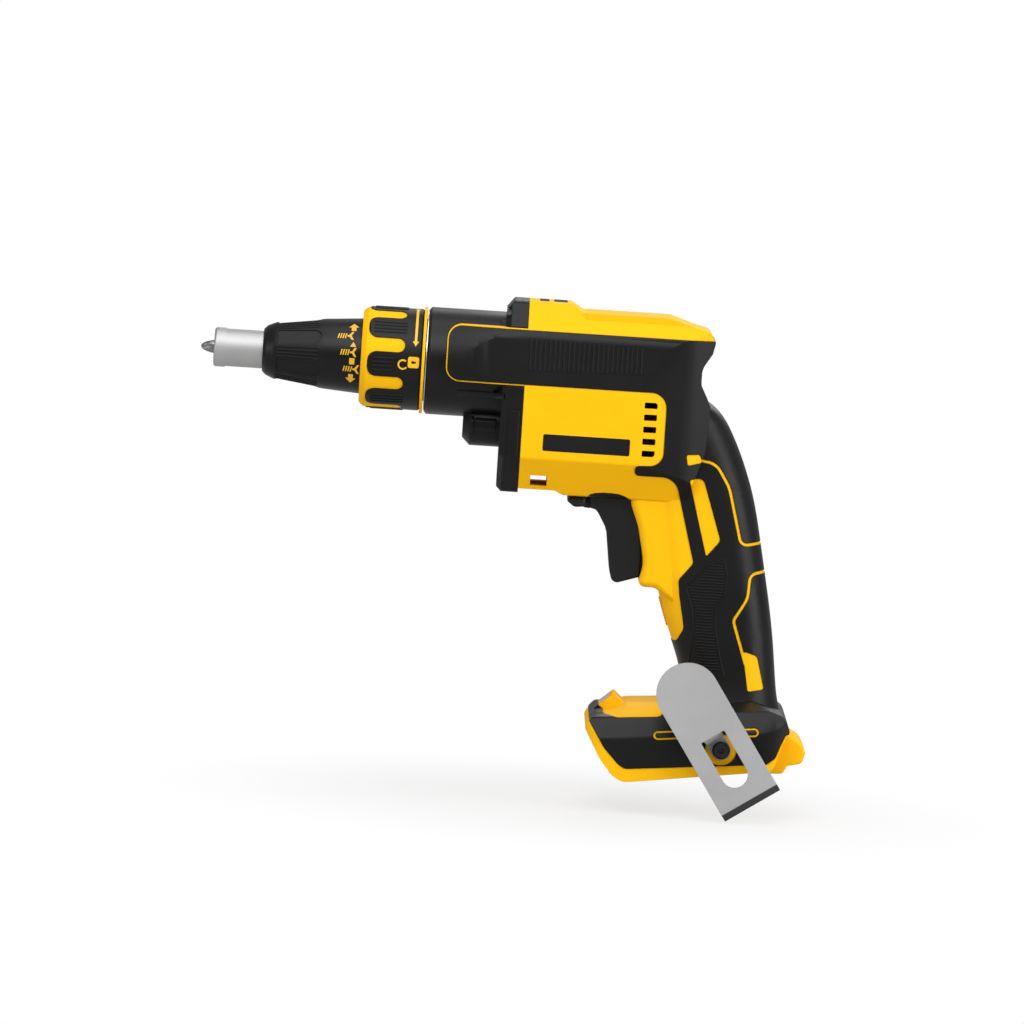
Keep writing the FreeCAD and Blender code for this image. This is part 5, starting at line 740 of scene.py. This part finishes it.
plate_film = finish_material("plate_film", (0.0032, 0.0032, 0.0033), (0.0045, 0.0045, 0.0046),
                             gloss=(0.3, 0.36), grain=1500.0, depth=0.006 * mm, shine=0.3)
plate_outline = round_cornered(145.4, 181.7, -33.0, -26.0, 0.7)
plate_height, plate_root = 0.12 * mm, 0.2 * mm
for word, side in sides.items():
    plate = bmesh.new()
    add_plate(plate, plate_outline, plate_height, plate_root)
    laid_on_side(plate, shell_skin, side)
    placed(plate, f"side_plate_{word}", "tool", "black_plastic", plate_film)


# Lamp: a clear polycarbonate window in the yellow wedge at the front of the foot,
# clipped in over its small board.

lens_clear = finish_material("lens_clear", (0.4, 0.41, 0.4), (0.47, 0.48, 0.47), gloss=(0.1, 0.16),
                             grain=300.0, depth=0.004 * mm)
placed(merged("led_lens"), "lamp_lens", "tool", "clear_lens", lens_clear, "led_lens")
dress(solder_mask, "led_board")


# Belt hook: bent steel plate with a matt grey coat and a folded lip, held to the foot
# by one socket screw in its slot, which goes into a brass insert. The lip is painted dark as shade, since it
# faces down.

powder_coat = finish_material("powder_coat", (0.34, 0.338, 0.342), (0.39, 0.388, 0.392), gloss=(0.55, 0.66),
                              grain=1800.0, depth=0.03 * mm, edge=0.4 * mm)
# Painted shade: past a line along the hook, the coat turns near-black on the down-facing lip.
lip_painted_shade = (0.018, 0.018, 0.019)
hook_slope = math.radians(56.3)
hook_along = Vector((math.cos(hook_slope), 0, -math.sin(hook_slope)))
hook_top = Vector((213.35, 0, -130.78)) * mm
lip_place, lip_edge = 49.0 * mm, 0.15 * mm
lip_starts = hook_top.dot(hook_along) + lip_place
tree = powder_coat.node_tree
spot = tree.nodes.new("ShaderNodeTexCoord")
along = add_math(tree, "ShaderNodeVectorMath", "DOT_PRODUCT")
along.inputs[1].default_value = hook_along
# Share of painted shade along the hook, rising over a short edge where the lip starts.
lip_shade_mask = add_node(tree, "ShaderNodeMapRange", From_Min=lip_starts - lip_edge, From_Max=lip_starts + lip_edge)
coat = tree.nodes["Principled BSDF"].inputs["Base Color"]
tree.links.new(spot.outputs["Object"], along.inputs[0])
tree.links.new(along.outputs["Value"], lip_shade_mask.inputs["Value"])
tree.links.new(colour_mix(tree, lip_shade_mask.outputs["Result"], coat.links[0].from_socket, lip_painted_shade), coat)
placed(merged("belt_hook"), "hook_plate", "tool", "grey_coated_steel", powder_coat, "belt_hook")
dress(plated_brass, "hook_inserts")


# Screws: black oxide steel screws that hold the two shells together, the gear case to their front
# and the hook to the foot.

black_oxide = finish_material("black_oxide_steel", (0.02, 0.02, 0.022), (0.04, 0.04, 0.042),
                              gloss=(0.3, 0.45), grain=1800.0, depth=0.01 * mm, metallic=0.9)
dress(black_oxide, "gear_case_screws", "housing_screws", "belt_hook_screw")


# Studio: white paper floor and surround, which show white to the camera and through glass,
# less in gloss, and keep a soft shadow under the tool.

mirror_share = 0.26


def white_share(tree):
    """How much of the white a ray meets: all for the camera and through glass, some in gloss."""
    path = tree.nodes.new("ShaderNodeLightPath")
    mirrored = add_math(tree, "ShaderNodeMath", "MULTIPLY_ADD")
    mirrored.inputs[1].default_value = mirror_share
    seen = add_math(tree, "ShaderNodeMath", "MAXIMUM")
    tree.links.new(path.outputs["Is Glossy Ray"], mirrored.inputs[0])
    tree.links.new(path.outputs["Is Transmission Ray"], mirrored.inputs[2])
    tree.links.new(path.outputs["Is Camera Ray"], seen.inputs[0])
    tree.links.new(mirrored.outputs[0], seen.inputs[1])
    return seen.outputs[0]


def show_white(tree, share, plain, white, output):
    """Mixes a plain shader with the white one by a share and sends it to the output."""
    mix = tree.nodes.new("ShaderNodeMixShader")
    tree.links.new(share, mix.inputs[0])
    tree.links.new(plain.outputs[0], mix.inputs[1])
    tree.links.new(white.outputs[0], mix.inputs[2])
    tree.links.new(mix.outputs[0], tree.nodes[output].inputs["Surface"])


floor_level = cad_low.z - 0.5 * mm
floor_half = 8.0
floor_shape = bmesh.new()
bmesh.ops.create_grid(floor_shape, x_segments=1, y_segments=1, size=floor_half,
                      matrix=Matrix.Translation((0.15, 0, floor_level)))
floor_mesh = bpy.data.meshes.new("studio_floor")
floor_shape.to_mesh(floor_mesh)
floor_shape.free()
floor = bpy.data.objects.new("studio_floor", floor_mesh)
bpy.context.scene.collection.objects.link(floor)
floor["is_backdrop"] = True
paper = bpy.data.materials.new("white_paper")
paper.use_nodes = True
tree = paper.node_tree
sheet = tree.nodes["Principled BSDF"]
sheet.inputs["Base Color"].default_value = (0.6, 0.6, 0.6, 1)
sheet.inputs["Roughness"].default_value = 0.9
glow = add_node(tree, "ShaderNodeEmission", Strength=1.0)
shadow_centre = (0.17, 0.0, floor_level)
shadow_near, shadow_far, shadow_white = 0.05, 0.2, 0.75
spot = tree.nodes.new("ShaderNodeTexCoord")
away_from_tool = add_math(tree, "ShaderNodeVectorMath", "DISTANCE")
away_from_tool.inputs[1].default_value = shadow_centre
fade = add_node(tree, "ShaderNodeMapRange", From_Min=shadow_near, From_Max=shadow_far, To_Min=shadow_white,
                To_Max=1.0)
fade.interpolation_type = "SMOOTHSTEP"
tree.links.new(spot.outputs["Object"], away_from_tool.inputs[0])
tree.links.new(away_from_tool.outputs["Value"], fade.inputs["Value"])
show_white(tree, product(tree, white_share(tree), fade.outputs["Result"]), sheet, glow, "Material Output")
floor_mesh.materials.append(paper)

scene = bpy.context.scene
scene.view_settings.view_transform = "Standard"
world = bpy.data.worlds.new("studio_surround")
scene.world = world
world.use_nodes = True
tree = world.node_tree
pure_white = (1, 1, 1, 1)
soft = tree.nodes["Background"]
soft.inputs["Color"].default_value = pure_white
soft.inputs["Strength"].default_value = 0.15
bright = add_node(tree, "ShaderNodeBackground", Color=pure_white, Strength=1.0)
show_white(tree, white_share(tree), soft, bright, "World Output")


# Lights and camera: five soft boxes round the tool, and a long lens at the photograph's viewpoint,
# tilted a little so that the tool lies as it does there.

aim = Vector((0.13457, 0.0, -0.06142))
for name, place, size, power in (("key_softbox", (0.0, -0.9, 0.9), 0.8, 10.5),
                                 ("side_softbox", (1.2, -0.6, 0.2), 0.7, 9),
                                 ("front_softbox", (-1.0, -0.7, 0.2), 0.6, 4),
                                 ("top_softbox", (0.15, -0.1, 1.1), 0.8, 5),
                                 ("rear_softbox", (0.5, 1.1, 0.7), 0.8, 6)):
    lamp = bpy.data.lights.new(name, "AREA")
    lamp.size = size
    lamp.energy = power
    softbox = bpy.data.objects.new(name, lamp)
    softbox.location = place
    softbox.rotation_euler = (aim - Vector(place)).to_track_quat("-Z", "Y").to_euler()
    scene.collection.objects.link(softbox)

roll = math.radians(3.7)
lift = math.radians(4.25)
distance = 4.0
image_pixels, pixel_size = 1024, 0.42 * mm
right = Vector((math.cos(roll), 0, math.sin(roll)))
level = Vector((-math.sin(roll), 0, math.cos(roll)))
away = Vector((0, math.cos(lift), 0)) - level * math.sin(lift)
up = level * math.cos(lift) + Vector((0, math.sin(lift), 0))
lens = bpy.data.cameras.new("photo_camera")
lens.sensor_width = 36.0
lens.lens = lens.sensor_width * distance / (image_pixels * pixel_size)
camera = bpy.data.objects.new("photo_camera", lens)
facing = Matrix((right, up, -away)).transposed().to_4x4()
camera.matrix_world = Matrix.Translation(aim - away * distance) @ facing
scene.collection.objects.link(camera)
scene.camera = camera

low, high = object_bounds()
